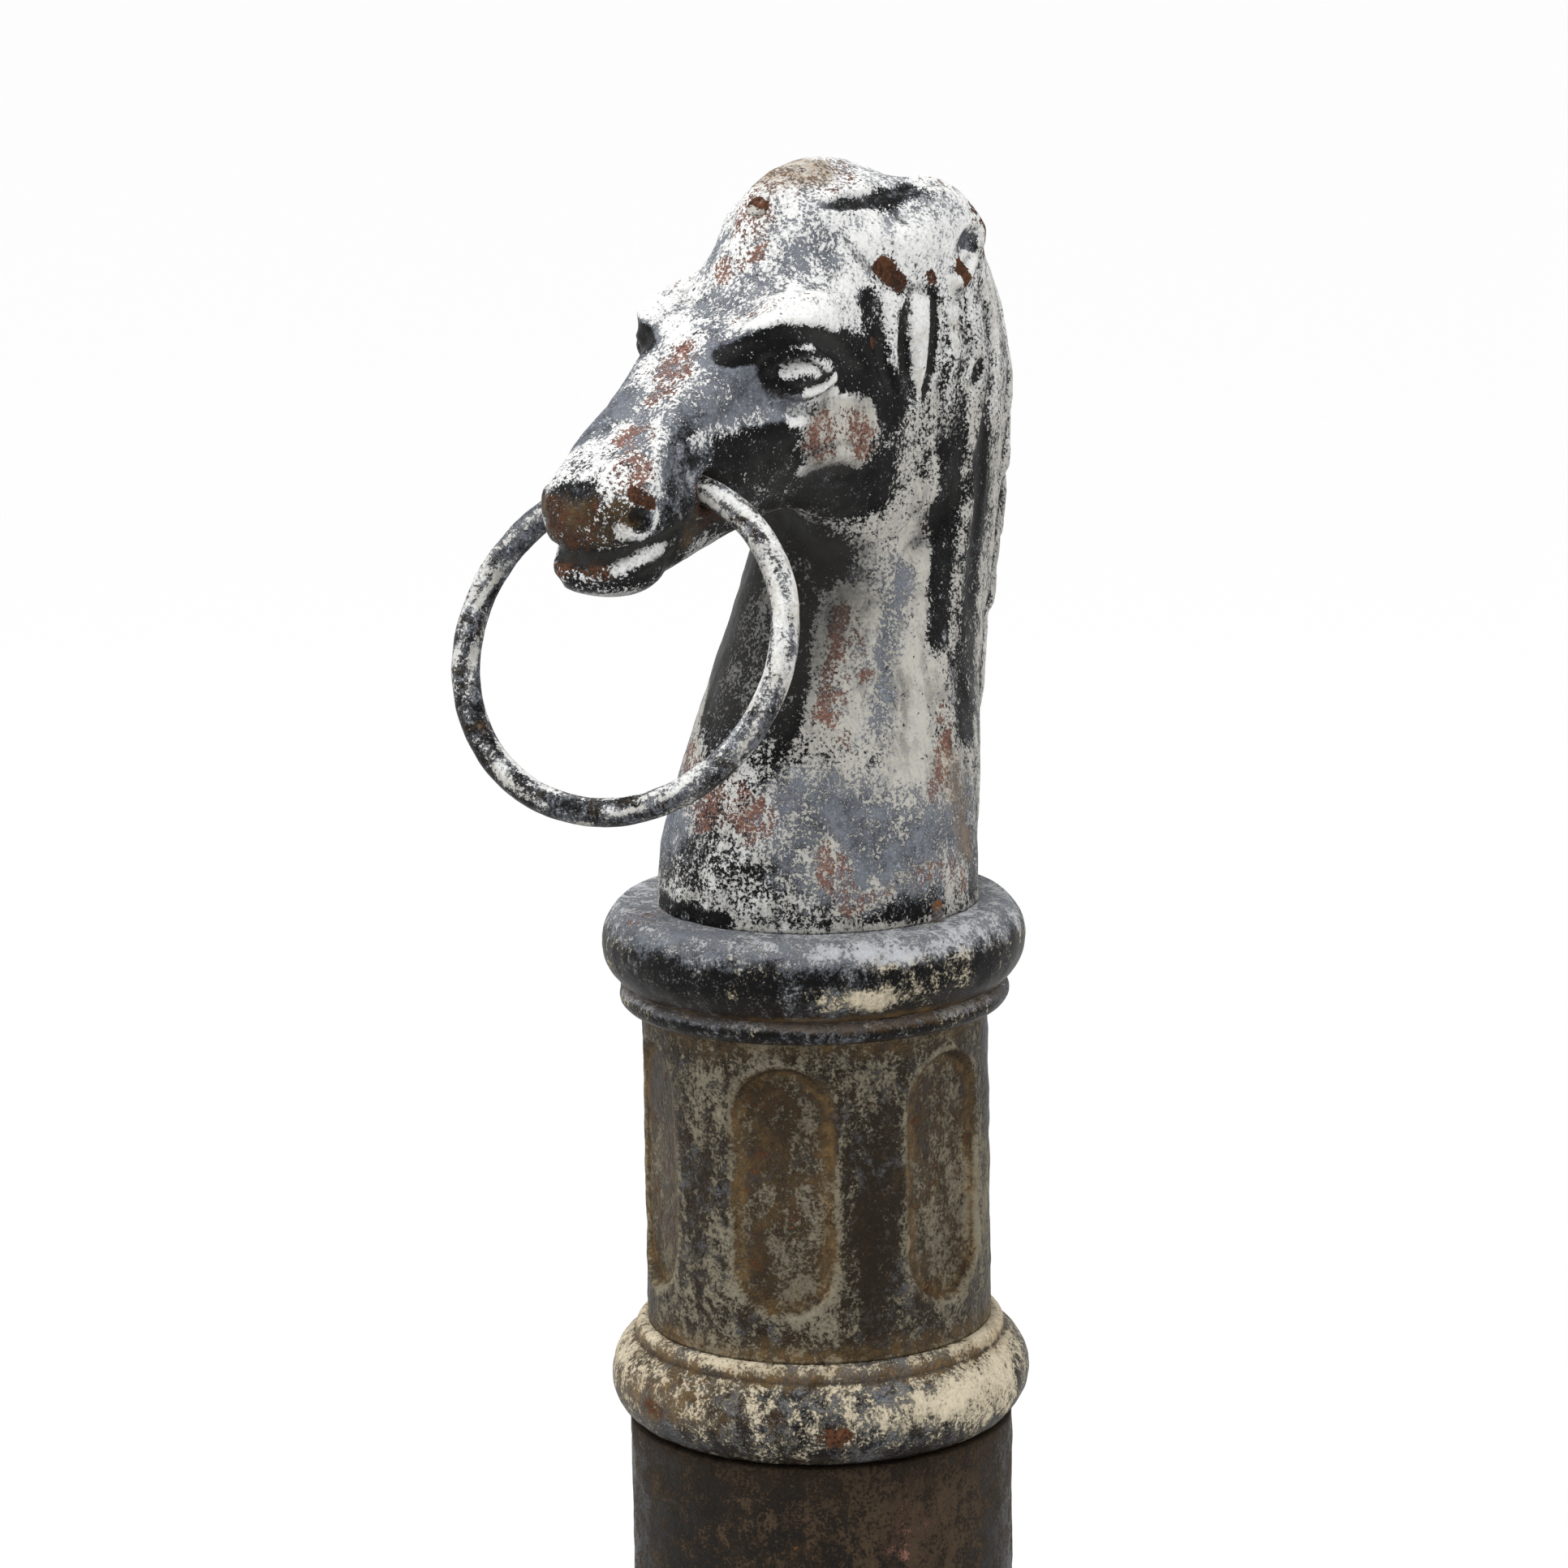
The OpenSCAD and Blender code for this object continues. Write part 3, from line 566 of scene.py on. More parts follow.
# Marks on the head. After a layer's name come its marks: the level there, the reach, how hard the edge is,
# LEFT if it isn't on both sides, and then the points of its line.
HEAD_PAINT = (
    # White on the head, beige down the neck
    "chalk",
    (0.95, 60, 1.4, (0, 20, 270), (0, -40, 235), (0, -110, 180)),
    (0.1, 50, 1.5, (20, 40, 150), (30, 10, 90), (40, 0, 20)),
    (0.25, 15, 2, (36, -26, 190), (38, -12, 190)),
    "slate",
    (1, 26, 1.5, (10, -30, 268), (20, 10, 278), (26, 40, 268)),
    (0.9, 18, 1.4, (36, 4, 128), (38, -8, 104), (40, -16, 86)),
    (1.2, 20, 2, (17, -28, 262), (26, -19, 257), (22, -29, 252), (11, -40, 249), (4, -46, 243)),
    (1.3, 22, 2, (18, -94, 202), (21, -80, 207), (25, -68, 211), (28, -58, 210)),
    (0.9, 26, 1.6, (36, -38, 40), (50, -26, 34), (57, -8, 36), (59, 16, 34)),
    (0.1, 11, 1.8, (33, -50, 216), (37, -42, 216), (38, -30, 212)),
    # Keeps slate off the crease under the brow, so that its painted shadow stays black
    (0.1, 6, 1.8, (19, -66, 221), (27, -61, 225), (39, -53, 227)),
    (0.1, 12, 1.8, (25, -94, 182), (25, -84, 184), (27, -66, 186), (32, -48, 186)),
    (0.5, 16, 1.6, (25, -108, 176), (24, -98, 180), (25, -92, 188)),
    (0.45, 9, 1.5, LEFT, (24, -4, 274), (27, 10, 275), (29, 22, 275), (32, 38, 277)),
    "coat",
    # Worn to white
    (0.16, 17, 1.5, (14, -64, 229), (24, -46, 243), (33, -19, 244), (36, 6, 250)),
    (0.24, 20, 1.4, (30, 2, 262), (35, 22, 256), (37, 46, 252)),
    (0.3, 12, 1.4, (6, -92, 205), (8, -107, 194), (6, -119, 187), (5, -128, 179)),
    # The speckled neck, and its beige runs
    (0.46, 26, 1.4, (40, 24, 190), (39, 14, 172), (36, 12, 158)),
    (0.52, 18, 1.5, (41, 53, 206), (41, 50, 190), (41, 48, 172), (41, 42, 150)),
    (0.12, 19, 1.6, (40, 18, 136), (43, 12, 112), (47, 8, 90), (52, 4, 66)),
    (0.18, 10, 1.6, (29, -2, 134), (27, -16, 110), (26, -30, 84)),
    (0.62, 16, 1.4, (36, 4, 128), (38, -8, 104), (40, -16, 86)),
    # Slate grey on the forehead, the side of the nose and the foot of the neck
    (0.62, 13, 1.6, (17, -28, 262), (26, -19, 257), (22, -29, 252), (11, -40, 249), (4, -46, 243)),
    (0.6, 8, 1.6, LEFT, (4, -46, 243), (0, -55, 235), (8, -60, 230)),
    (0.8, 15, 1.8, (15, -94, 203), (19, -81, 210), (22, -69, 217), (27, -60, 216)),
    (0.8, 13, 1.8, (22, -90, 199), (25, -76, 204), (29, -60, 204)),
    (0.72, 26, 1.4, (20, -48, 36), (50, -26, 28), (58, -4, 24), (58, 24, 22)),
    (0.56, 20, 1.2, (10, -12, 286), (17, 2, 284), (22, 18, 280), (26, 34, 279)),
    # Dark coat: a painted shadow in the crease under the brow, then behind the eye, cheek and jaw, muzzle,
    # throat
    # Painted shadow along the crease under the brow
    (1.2, 6.5, 2, (19, -66, 221), (27, -61, 225), (39, -53, 227), (41, -38, 225), (38, -21, 218)),
    (1.05, 9, 1.8, (29, -60, 213), (33, -54, 208), (37, -40, 205), (38, -28, 207)),
    (1.2, 12, 2.2, (36, -24, 217), (37, -13, 213), (38, -5, 207), (39, 1, 200)),
    (0.72, 5, 1.4, (35, -4, 238), (36, -3, 230), (37, 0, 222), (38, 4, 214)),
    (0.9, 2.6, 1.6, (38, 13, 226), (39, 15, 214), (40, 18, 204)),
    (0.8, 2.8, 1.6, (40, 31, 238), (40, 30, 222), (40, 28, 210), (40, 24, 202)),
    (1.05, 17, 1.9, (25, -98, 184), (25, -84, 187), (27, -66, 187), (32, -48, 186), (34, -40, 182)),
    (1.15, 18, 2, (35, -30, 172), (37, -18, 171), (37, -10, 170)),
    (0.78, 17, 1.6, (30, -48, 170), (26, -62, 170), (24, -78, 166)),
    (0.95, 15, 1.6, (25, -108, 172), (24, -98, 164), (22, -108, 154), (12, -96, 148)),
    (0.92, 9, 1.6, (22, -112, 182), (24, -104, 180), (24, -100, 190)),
    (0.92, 7, 1.6, (0, -132, 141), (10, -128, 140), (18, -116, 141), (20, -104, 145)),
    (0.95, 16, 1.6, (4, -16, 146), (17, -12, 134), (24, -16, 117), (21, -28, 98)),
    (1.1, 8, 2, (24, -16, 117), (22, -28, 96), (18, -38, 78), (13, -45, 64)),
    (0.7, 24, 1.3, (0, -14, 110), (0, -34, 76), (0, -44, 50)),
    (0.95, 7, 1.5, (40, 38, 176), (40, 36, 152), (42, 30, 126), (45, 25, 106)),
    # Painted shade in the groove behind the mane's edge, down the neck
    (0.9, 9, 1.4, (41, 60, 176), (41, 56, 150), (42, 50, 128), (44, 46, 104), (50, 36, 70)),
    (0.95, 2.6, 1.8, LEFT, (24, -5, 272), (25, 2, 273), (27, 10, 273)),
    (0.95, 4.2, 1.8, LEFT, (27, 10, 274), (29, 22, 275), (32, 36, 277)),
    (0.95, 8, 1.8, LEFT, (-8, -131, 172), (5, -130, 175), (14, -127, 176), (18, -124, 172)),
    (1.0, 4.5, 1.6, LEFT, (-34, -50, 3), (-6, -61, 3), (8, -61, 2)),
    (0.95, 5, 1.5, LEFT, (54, -28, 7), (61, -12, 8)),
    (1.1, 4, 2, (34, 60, 252), (38, 52, 256)),
    # Light marks over the dark: eyeball and lids, with a painted highlight on the eyeball's top and the upper
    # lid's crest, strokes under the eye, cheek patch, locks, lips, nostril
    (1.1, 9, 2, (33, -50, 215), (37, -42, 215), (38, -30, 212)),
    # Pale flecked eyeball, lightest at its top: partly paint and partly a painted highlight
    (0.3, 4.8, 1.6, (33, -48, 216), (37, -40, 217), (38, -33, 215)),
    # Painted highlight along the crest of the upper lid, with white flecks
    (0.25, 2.6, 1.6, (33, -54, 222), (37, -49, 224), (39.5, -41, 224)),
    (0.15, 2.6, 1.6, (36, -40, 206.5), (38, -32, 207.5), (38, -26, 210.5)),
    (0.58, 5, 1.2, (24, -88, 194), (26, -68, 198), (30, -54, 200)),
    *(
        (0.36, 2.1, 1.3, (24 + n, -90 + 4.3 * n, top), (24.5 + n, -89 + 4.3 * n, top - drop))
        for n, (top, drop) in enumerate(HATCHING)
    ),
    (0.05, 5, 1.8, (33, -44, 198), (35, -36, 200), (37, -26, 203)),
    (0.05, 10, 2.6, (36, -26, 192), (38, -17, 194), (38, -11, 193)),
    (0.05, 9, 2.6, (35, -30, 187), (37, -20, 187), (38, -11, 186)),
    (0.15, 3.4, 2, (33, -38, 176), (36, -24, 180), (38, -10, 177)),
    (0.12, 5, 1.8, (39, 23, 238), (39.5, 23, 226), (39.5, 21, 215), (40, 22, 207)),
    (0.85, 13, 1.6, LEFT, (-10, -130, 166), (2, -132, 162), (13, -128, 163)),
    (0.3, 9, 1.6, (14, -123, 185), (19, -116, 184), (22, -113, 179)),
    (0.9, 6, 1.6, (14, -128, 161), (20, -122, 158), (26, -109, 160)),
    (0.3, 3.6, 1.8, (20, -124, 164), (24, -117, 163), (26, -112, 168), (23, -118, 176)),
    (1.2, 5, 2.2, (22, -122, 171), (22.5, -118, 167.5)),
    (0.22, 3.2, 1.8, (8, -130, 149), (15, -125, 150), (20, -117, 153), (23, -108, 155)),
    (0.2, 3.5, 1.6, (0, -126, 137), (10, -122, 136), (16, -112, 137)),
    (1.15, 4.2, 2, LEFT, (39, -1, 201), (40, 1, 191), (39, -4, 182), (38, -6, 175), (36, -3, 164)),
    # Light ground of a primer patch on the neck, and the lower lip's dark
    (0.14, 13, 1.8, LEFT, (29, -10, 118), (31, -16, 100), (33, -22, 82)),
    (0.8, 9, 1.4, LEFT, (-10, -129, 150), (2, -131, 148), (9, -129, 149)),
    # Red-brown primer, mostly on the side that is seen
    "primer",
    (0.66, 11, 1.6, LEFT, (3, -32, 270), (4, -35, 260), (-2, -40, 252)),
    (0.5, 22, 1.2, (2, -30, 270), (3, -18, 282), (10, -8, 286), (14, 6, 286)),
    (0.44, 9, 1.4, LEFT, (28, 40, 279), (32, 52, 274), (34, 58, 262)),
    (0.46, 8, 1.4, LEFT, (18, -56, 236), (26, -50, 240)),
    (0.6, 12, 1.4, LEFT, (-6, -77, 217), (2, -72, 221), (8, -78, 215), (7, -88, 208)),
    (0.62, 10, 1.6, LEFT, (6, -106, 195), (12, -104, 196), (16, -112, 188), (18, -119, 181)),
    (0.52, 12, 1.6, (35, -32, 189), (37, -20, 191), (38, -10, 186)),
    (0.4, 12, 1.5, (24, -44, 240), (32, -26, 240)),
    (0.6, 9, 1.3, LEFT, (29, -11, 116), (31, -19, 98), (32, -26, 80)),
    (0.55, 7, 1.6, LEFT, (36, -22, 70), (38, -24, 56)),
    (0.6, 17, 1.3, LEFT, (-26, -41, 58), (-8, -51, 44), (6, -50, 50), (16, -48, 42)),
    (0.54, 8, 1.3, LEFT, (50, 22, 76), (54, 15, 60), (57, 8, 48)),
    (0.46, 7, 1.3, LEFT, (40, -14, 104), (38, -10, 96), (36, -12, 112)),
    (0.5, 7, 1.3, LEFT, (44, -40, 34), (43, -40, 22)),
    (0.6, 9, 1.6, LEFT, (44, -38, 26), (48, -34, 12), (60, 10, 20), (61, 16, 10)),
    # Bare rusted iron
    "rust",
    (0.74, 5.5, 1.4, LEFT, (36, 5, 250), (36, 9, 247), (37, 13, 243)),
    (0.66, 4, 1.4, LEFT, (38, 29, 245), (38, 31, 243)),
    (0.7, 4.5, 1.4, LEFT, (39, 46, 246), (39, 49, 241)),
    (0.64, 7, 1.3, LEFT, (33, 60, 266), (35, 65, 257), (34, 68, 252)),
    (0.7, 3, 1.6, LEFT, (37, -1, 222), (37.5, -1, 221)),
    (0.56, 11, 1.4, LEFT, (-10, -130, 170), (-5, -131, 162)),
    (0.52, 9, 1.4, LEFT, (11, -129, 169), (4, -131, 161)),
    (0.5, 9, 1.4, LEFT, (-8, -130, 150), (2, -131, 148), (11, -128, 149)),
    (0.75, 5, 1.6, (23, -119, 177), (25, -115, 175)),
    (0.75, 9, 1.5, (24, -82, 172), (21, -76, 164)),
    # Ochre run-off
    "stain",
    (0.75, 16, 1.4, (0, -14, 288), (6, -4, 287)),
    (0.6, 10, 1.4, (24, -80, 166), (20, -84, 158)),
    (0.55, 12, 1.4, LEFT, (60, 20, 60), (61, 26, 24)),
    (0.5, 12, 1.4, (0, -130, 166), (16, -124, 168)),
    # Grime on the lips, and painted shade on the throat and under the jaw
    "grime",
    (0.4, 14, 1.4, LEFT, (-9, -130, 166), (0, -131, 158), (12, -128, 156)),
    # Painted shade on the throat and under the jaw
    (0.75, 30, 1.4, (0, -20, 140), (16, -14, 126), (0, -30, 90)),
    (0.55, 26, 1.4, (30, -36, 164), (26, -60, 162), (18, -90, 150)),
)


# Changes of layers where the iron faces up or down, and in a hollow; and how far past its reach a mark's
# points are looked for. The facing paints light and shade: upward faces lighter and whiter, downward faces
# darker with painted shade. In hollows the extra dark coat is partly wear and partly painted shade, and
# painted shade darkens them further.
UP_COAT, UP_CHALK, DOWN_SHADE = -0.14, 0.35, F(0.8)
HOLLOW_COAT, HOLLOW_SHADE = 0.20, 0.55
MARK_SPREAD = 1.3


def painted_layers(points, normals, marks=(), neutral=NEUTRAL, hollow=None):
    """Paint layers on a piece: its neutral levels, changed by which way the iron faces, then by marks, and
    then by how hollow it is there. The facing and the hollows paint light and shade into the layers."""
    layers = {name: np.full(len(points), value, F) for name, value in {**NEUTRAL, **neutral}.items()}
    facing = normals[:, 2].astype(F)
    # Painted light and shade: upward faces lose dark coat and turn whiter, downward faces keep more coat and
    # get painted shade
    layers["coat"] += UP_COAT * facing
    layers["chalk"] += UP_CHALK * facing
    layers["grime"] += np.clip(-facing - 0.15, 0, 1) * DOWN_SHADE
    p = points.astype(F)
    folded = p.copy()
    folded[:, 0] = np.abs(folded[:, 0])
    for mark in marks:
        if isinstance(mark, str):
            layer = mark
            continue
        level, reach, hardness, *line = mark
        one_side = line[0] == LEFT
        at, t = near_line(p if one_side else folded, line[one_side:], reach * MARK_SPREAD)
        t = np.clip(t * hardness, 0, 1)
        share = t * t * (3 - 2 * t)
        layers[layer][at] += (level - layers[layer][at]) * share
        if layer == "primer":
            layers["coat"][at] += (PRIMER_COAT - layers["coat"][at]) * share * PRIMER_SHARE
    if hollow is not None:
        # Painted shade in creases; the coat change there is partly wear of the ridges and partly painted
        # shade
        layers["coat"] += HOLLOW_COAT * hollow
        layers["grime"] += HOLLOW_SHADE * np.clip(hollow, 0, 1)
    return layers


def hollowness(points, faces, normals, rounds=5, scale=0.35):
    """How far each point of a quad mesh lies in a crease (towards 1) or on a ridge (towards -1)."""
    start = faces.ravel()
    end = np.roll(faces, -1, 1).ravel()
    share = np.maximum(np.bincount(start, minlength=len(points)), 1)
    moved = points.astype(float)
    for _ in range(rounds):
        moved = np.stack([np.bincount(start, moved[end, n], len(points)) / share for n in range(3)], 1)
    return np.clip(((moved - points) * normals).sum(1) / scale, -1, 1).astype(F)


# ---- Materials ----

COLOURS = {
    "black": (0.0045, 0.0045, 0.005),
    "soot": (0.011, 0.0108, 0.0102),
    "dust": (0.040, 0.039, 0.037),
    "charcoal": (0.034, 0.033, 0.031),
    "slate_dark": (0.042, 0.047, 0.056),
    "slate": (0.185, 0.20, 0.23),
    "slate_light": (0.52, 0.535, 0.565),
    "white": (0.84, 0.84, 0.82),
    "beige": (0.53, 0.51, 0.455),
    "dirt": (0.17, 0.155, 0.13),
    "primer": (0.31, 0.155, 0.115),
    "primer_dark": (0.125, 0.066, 0.052),
    "rust": (0.15, 0.065, 0.033),
    "rust_dark": (0.035, 0.019, 0.014),
    "orange": (0.42, 0.16, 0.03),
    "ochre": (0.30, 0.185, 0.075),
    "cream": (0.66, 0.58, 0.43),
    "khaki": (0.25, 0.228, 0.168),
    "olive": (0.085, 0.072, 0.048),
    "bronze": (0.072, 0.049, 0.031),
    "umber": (0.024, 0.0170, 0.0110),
    "steel": (0.25, 0.235, 0.22),
}


# Old paint and rust shine little
SPECULAR = 0.07


class Nodes:
    """Builds one material. Each method adds a node and returns its output, which others take as input."""

    def __init__(self, name, seed):
        self.material = bpy.data.materials.new(name)
        self.material.use_nodes = True
        self.tree = self.material.node_tree
        self.shader = self.tree.nodes["Principled BSDF"]
        coordinates = self.add("ShaderNodeTexCoord").outputs["Object"]
        shift = self.add("ShaderNodeVectorMath", {0: coordinates, 1: (seed * 3.1, seed * 1.7, seed * 2.3)})
        self.place = shift.outputs[0]

    def add(self, kind, inputs=None, **settings):
        node = self.tree.nodes.new(kind)
        for key, value in settings.items():
            setattr(node, key, value)
        for key, value in (inputs or {}).items():
            if isinstance(value, bpy.types.NodeSocket):
                self.tree.links.new(value, node.inputs[key])
            else:
                node.inputs[key].default_value = value
        return node

    def noise(self, size, detail=5.0, rough=0.6, warp=0.0, stretch=(1, 1, 1), offset=0.0):
        """Cloudy noise with features of about size metres, spread to roughly -1 to 1."""
        moved = self.add("ShaderNodeVectorMath", {0: self.place, 1: (offset, offset, offset)}).outputs[0]
        scaled = self.add("ShaderNodeVectorMath", {0: moved, 1: stretch}, operation="MULTIPLY").outputs[0]
        inputs = {"Vector": scaled, "Scale": 1 / size, "Detail": detail, "Roughness": rough}
        made = self.add("ShaderNodeTexNoise", {**inputs, "Distortion": warp}).outputs["Fac"]
        return self.sum((made, 4.0), -2.0)

    def math(self, operation, a, b):
        return self.add("ShaderNodeMath", {0: a, 1: b}, operation=operation).outputs[0]

    def sum(self, *values):
        """The values added up. A pair is a value and its weight."""
        values = [self.times(*value) if isinstance(value, tuple) else value for value in values]
        total = values[0]
        for value in values[1:]:
            total = self.math("ADD", total, value)
        return total

    def times(self, a, b):
        return self.math("MULTIPLY", a, b)

    def layer(self, name):
        return self.add("ShaderNodeAttribute", attribute_name=name).outputs["Fac"]

    def step(self, value, low, high):
        """0 below low, 1 above high, smooth between."""
        inputs = {"Value": value, "From Min": low, "From Max": high}
        return self.add("ShaderNodeMapRange", inputs, interpolation_type="SMOOTHSTEP").outputs["Result"]

    def mix(self, share, a, b):
        """From colour a to colour b; either may be a name in COLOURS."""
        a, b = ((*COLOURS[c], 1) if isinstance(c, str) else c for c in (a, b))
        return self.add("ShaderNodeMix", {0: share, 6: a, 7: b}, data_type="RGBA").outputs[2]

    def blend_number(self, share, a, b):
        return self.add("ShaderNodeMix", {0: share, 2: a, 3: b}, data_type="FLOAT").outputs[0]

    def finish(self, colour, roughness, height, relief):
        self.tree.links.new(colour, self.shader.inputs["Base Color"])
        self.tree.links.new(roughness, self.shader.inputs["Roughness"])
        inputs = {"Strength": 1.0, "Distance": relief, "Height": height}
        bump = self.add("ShaderNodeBump", inputs).outputs["Normal"]
        self.tree.links.new(bump, self.shader.inputs["Normal"])
        self.shader.inputs["Specular IOR Level"].default_value = SPECULAR
        return self.material


# How worn_paint looks on the head, and on the column's castings. pale is the light coat when chalky, clean
# and dirty; dark is the dark coat when clean, dusty and smudged; scuff and under tint the light coat, and
# grime_and_shade_colour is the colour of grime and of painted shade. mottled and speckle say how broken up
# the coats are, edge how soft their edges are, pebbles how lumpy the iron is, and flecked how much of the
# dark coat its flecks take away.
HEAD_LOOK = dict(
    pale=("white", "beige", "dirt"), dark=("black", "soot", "dust"), scuff="slate_light", under="slate",
    grime_and_shade_colour="charcoal", mottled=0.0, speckle=0.36, edge=0.04, pebbles=0.0, flecked=-0.7,
)
IRON_CHANGES = dict(
    scuff="khaki", under="olive", grime_and_shade_colour="umber", flecked=-0.4, speckle=0.22, edge=0.09, mottled=0.08
)
IRON_LOOK = {**HEAD_LOOK, **IRON_CHANGES}


def worn_paint(name, seed, look=HEAD_LOOK, **changes):
    """Iron under primer, a light coat and a dark coat, each worn off in places by the paint layers."""
    look = {**look, **changes}
    pale, dark, edge = look["pale"], look["dark"], look["edge"]
    m = Nodes(name, seed)
    broad = m.noise(0.060, 3, 0.55, 0.3)
    patch = m.noise(0.014, 7, 0.70, 0.7, offset=1.3)
    middle = m.noise(0.0055, 5, 0.70, 0.4, offset=7.3)
    grain = m.noise(0.0013, 3, 0.72, offset=2.1)
    fine = m.noise(0.0011, 1.5, 0.6, offset=5.2)
    streaks = m.noise(0.013, 6, 0.70, 0.5, stretch=(1, 1, 0.22), offset=4.1)
    smudge = m.noise(0.007, 6, 0.75, 0.5, offset=6.4)
    spots = m.noise(0.0085, 1.5, 0.5, offset=8.2)
    pits = m.noise(0.0032, 1.0, 0.5, offset=9.7)
    # How much of each coat is left: its layer, then broad, flaky and grainy variation
    ragged = m.sum((patch, 0.16), (middle, 0.18), (grain, look["speckle"]))
    level = m.sum((m.layer("coat"), 0.62), 0.19)
    dark_left = m.sum(level, (broad, 0.08 + look["mottled"]), (streaks, 0.16), ragged)
    flecks = m.step(m.sum(fine, (smudge, 0.45)), 0.66, 0.92)
    dark_share = m.times(m.step(dark_left, 0.50 - edge, 0.50 + edge), m.sum(1.0, (flecks, look["flecked"])))
    near_dark = m.step(dark_left, 0.10, 0.55)
    slate_left = m.sum(m.layer("slate"), (broad, 0.2), (smudge, 0.35), (grain, 0.2))
    slate_share = m.step(slate_left, 0.35, 0.75)
    primer_left = m.sum(m.layer("primer"), (streaks, 0.28), (smudge, 0.30), (grain, 0.38))
    primer_share = m.step(primer_left, 0.52, 0.62)
    rust_left = m.sum(m.layer("rust"), (patch, 0.24), (smudge, 0.26), (grain, 0.14))
    dots = m.step(m.sum(spots, (grain, 0.25)), 1.22, 1.32)
    rust_share = m.math("MAXIMUM", m.step(rust_left, 0.46, 0.56), dots)
    stain_share = m.step(m.sum(m.layer("stain"), (patch, 0.28), (grain, 0.15)), 0.15, 0.95)
    chalk_share = m.step(m.sum(m.layer("chalk"), (smudge, 0.30), (patch, 0.20)), 0.25, 0.75)
    pit_share = m.times(m.step(m.sum(pits, (grain, 0.3)), 1.0, 1.25), 0.9)
    # Colours, from the light coat up
    beige = m.mix(m.step(m.sum(streaks, (smudge, 0.7)), -0.4, 1.1), pale[1], pale[2])
    light = m.mix(chalk_share, beige, pale[0])
    light = m.mix(m.times(m.step(m.sum(smudge, grain), 0.2, 1.3), 0.65), light, look["scuff"])
    light = m.mix(m.times(near_dark, 0.40), light, look["under"])
    red = m.mix(m.step(m.sum(grain, smudge), -0.6, 1.0), "primer", "primer_dark")
    light = m.mix(primer_share, light, red)
    black = m.mix(m.step(m.sum(grain, (patch, 0.6)), -0.2, 1.3), dark[0], dark[1])
    black = m.mix(m.times(m.step(m.sum(smudge, (broad, 0.8)), 0.2, 1.4), 0.7), black, dark[2])
    grey = m.mix(m.step(m.sum(patch, (middle, 0.5), (grain, 0.5)), -0.8, 0.6), "slate_dark", "slate")
    scuffs = m.step(m.sum((smudge, 0.7), (streaks, 0.5), (grain, 0.9)), 0.30, 1.15)
    grey = m.mix(scuffs, grey, look["scuff"])
    darker = m.mix(slate_share, black, grey)
    colour = m.mix(dark_share, light, darker)
    colour = m.mix(pit_share, colour, "soot")
    colour = m.mix(m.times(stain_share, 0.75), colour, m.mix(m.step(smudge, -0.5, 0.9), "ochre", "umber"))
    bare = m.mix(m.step(m.sum(grain, (patch, 0.7)), -0.6, 0.7), "rust_dark", "rust")
    glow = m.step(m.sum(smudge, (grain, 0.7)), 0.55, 1.3)
    bare = m.mix(m.times(glow, 0.7), bare, "orange")
    colour = m.mix(rust_share, colour, bare)
    # Grime, and painted shade under the iron, in its hollows and where parts meet, darken the colour
    grime_and_shade_share = m.step(m.sum(m.layer("grime"), (smudge, 0.12), (grain, 0.10)), 0.0, 1.0)
    colour = m.mix(m.times(grime_and_shade_share, 0.82), colour, look["grime_and_shade_colour"])
    # Finish: black paint is a little glossy, the rest is dull
    gloss = m.times(dark_share, m.math("SUBTRACT", 1.0, slate_share))
    roughness = m.blend_number(gloss, 0.78, 0.36)
    roughness = m.blend_number(rust_share, roughness, 0.90)
    roughness = m.sum(roughness, (grain, 0.06))
    height = m.sum(
        (dark_share, 0.55), (primer_share, -0.30), (rust_share, m.times(grain, 0.60)),
        (rust_share, 0.20), (grain, 0.12), (patch, 0.20), (pit_share, -0.5),
        (m.sum(middle, pits), look["pebbles"]),
    )
    return m.finish(colour, roughness, height, 0.0006)


def rusty_paint(name, seed, coats=("slate_dark", "dust")):
    """Paint half gone over rusty iron, for castings that carry no paint layers."""
    m = Nodes(name, seed)
    patch = m.noise(0.012, 7, 0.70, 0.7)
    grain = m.noise(0.0024, 4, 0.70, offset=2.1)
    left = m.step(m.sum((patch, 0.6), (grain, 0.5)), -0.1, 0.05)
    bare = m.mix(m.step(grain, -0.7, 0.6), "rust_dark", "rust")
    bare = m.mix(m.step(m.sum(patch, grain), 0.5, 1.2), bare, "ochre")
    coat = m.mix(m.step(m.sum(patch, (grain, 0.8)), 0.0, 1.2), *coats)
    colour = m.mix(left, bare, coat)
    height = m.sum((left, 0.5), (grain, 0.35), (patch, 0.2))
    return m.finish(colour, m.blend_number(left, 0.88, 0.60), height, 0.0005)


def bare_metal(name, seed):
    """Dull steel fasteners with patches of rust."""
    m = Nodes(name, seed)
    cloudy = m.noise(0.008, 6, 0.65, 0.4)
    grain = m.noise(0.0012, 3, 0.6, offset=1.9)
    rusty = m.step(m.sum(cloudy, (grain, 0.4)), 0.0, 0.5)
    steel = m.mix(m.step(grain, -1, 1), "steel", "slate_dark")
    colour = m.mix(rusty, steel, m.mix(m.step(grain, -0.5, 0.8), "rust", "orange"))
    m.shader.inputs["Metallic"].default_value = 0.6
    return m.finish(colour, m.blend_number(rusty, 0.42, 0.85), m.sum((grain, 0.5), cloudy), 0.0003)


def refinish(node, material):
    """Gives a CAD node that stays in view its material."""
    data = frame["nodes"][node].data
    data.materials.clear()
    data.materials.append(material)


# ---- Column ----

# How uneven the turned castings are, in millimetres
LUMPS = 0.35


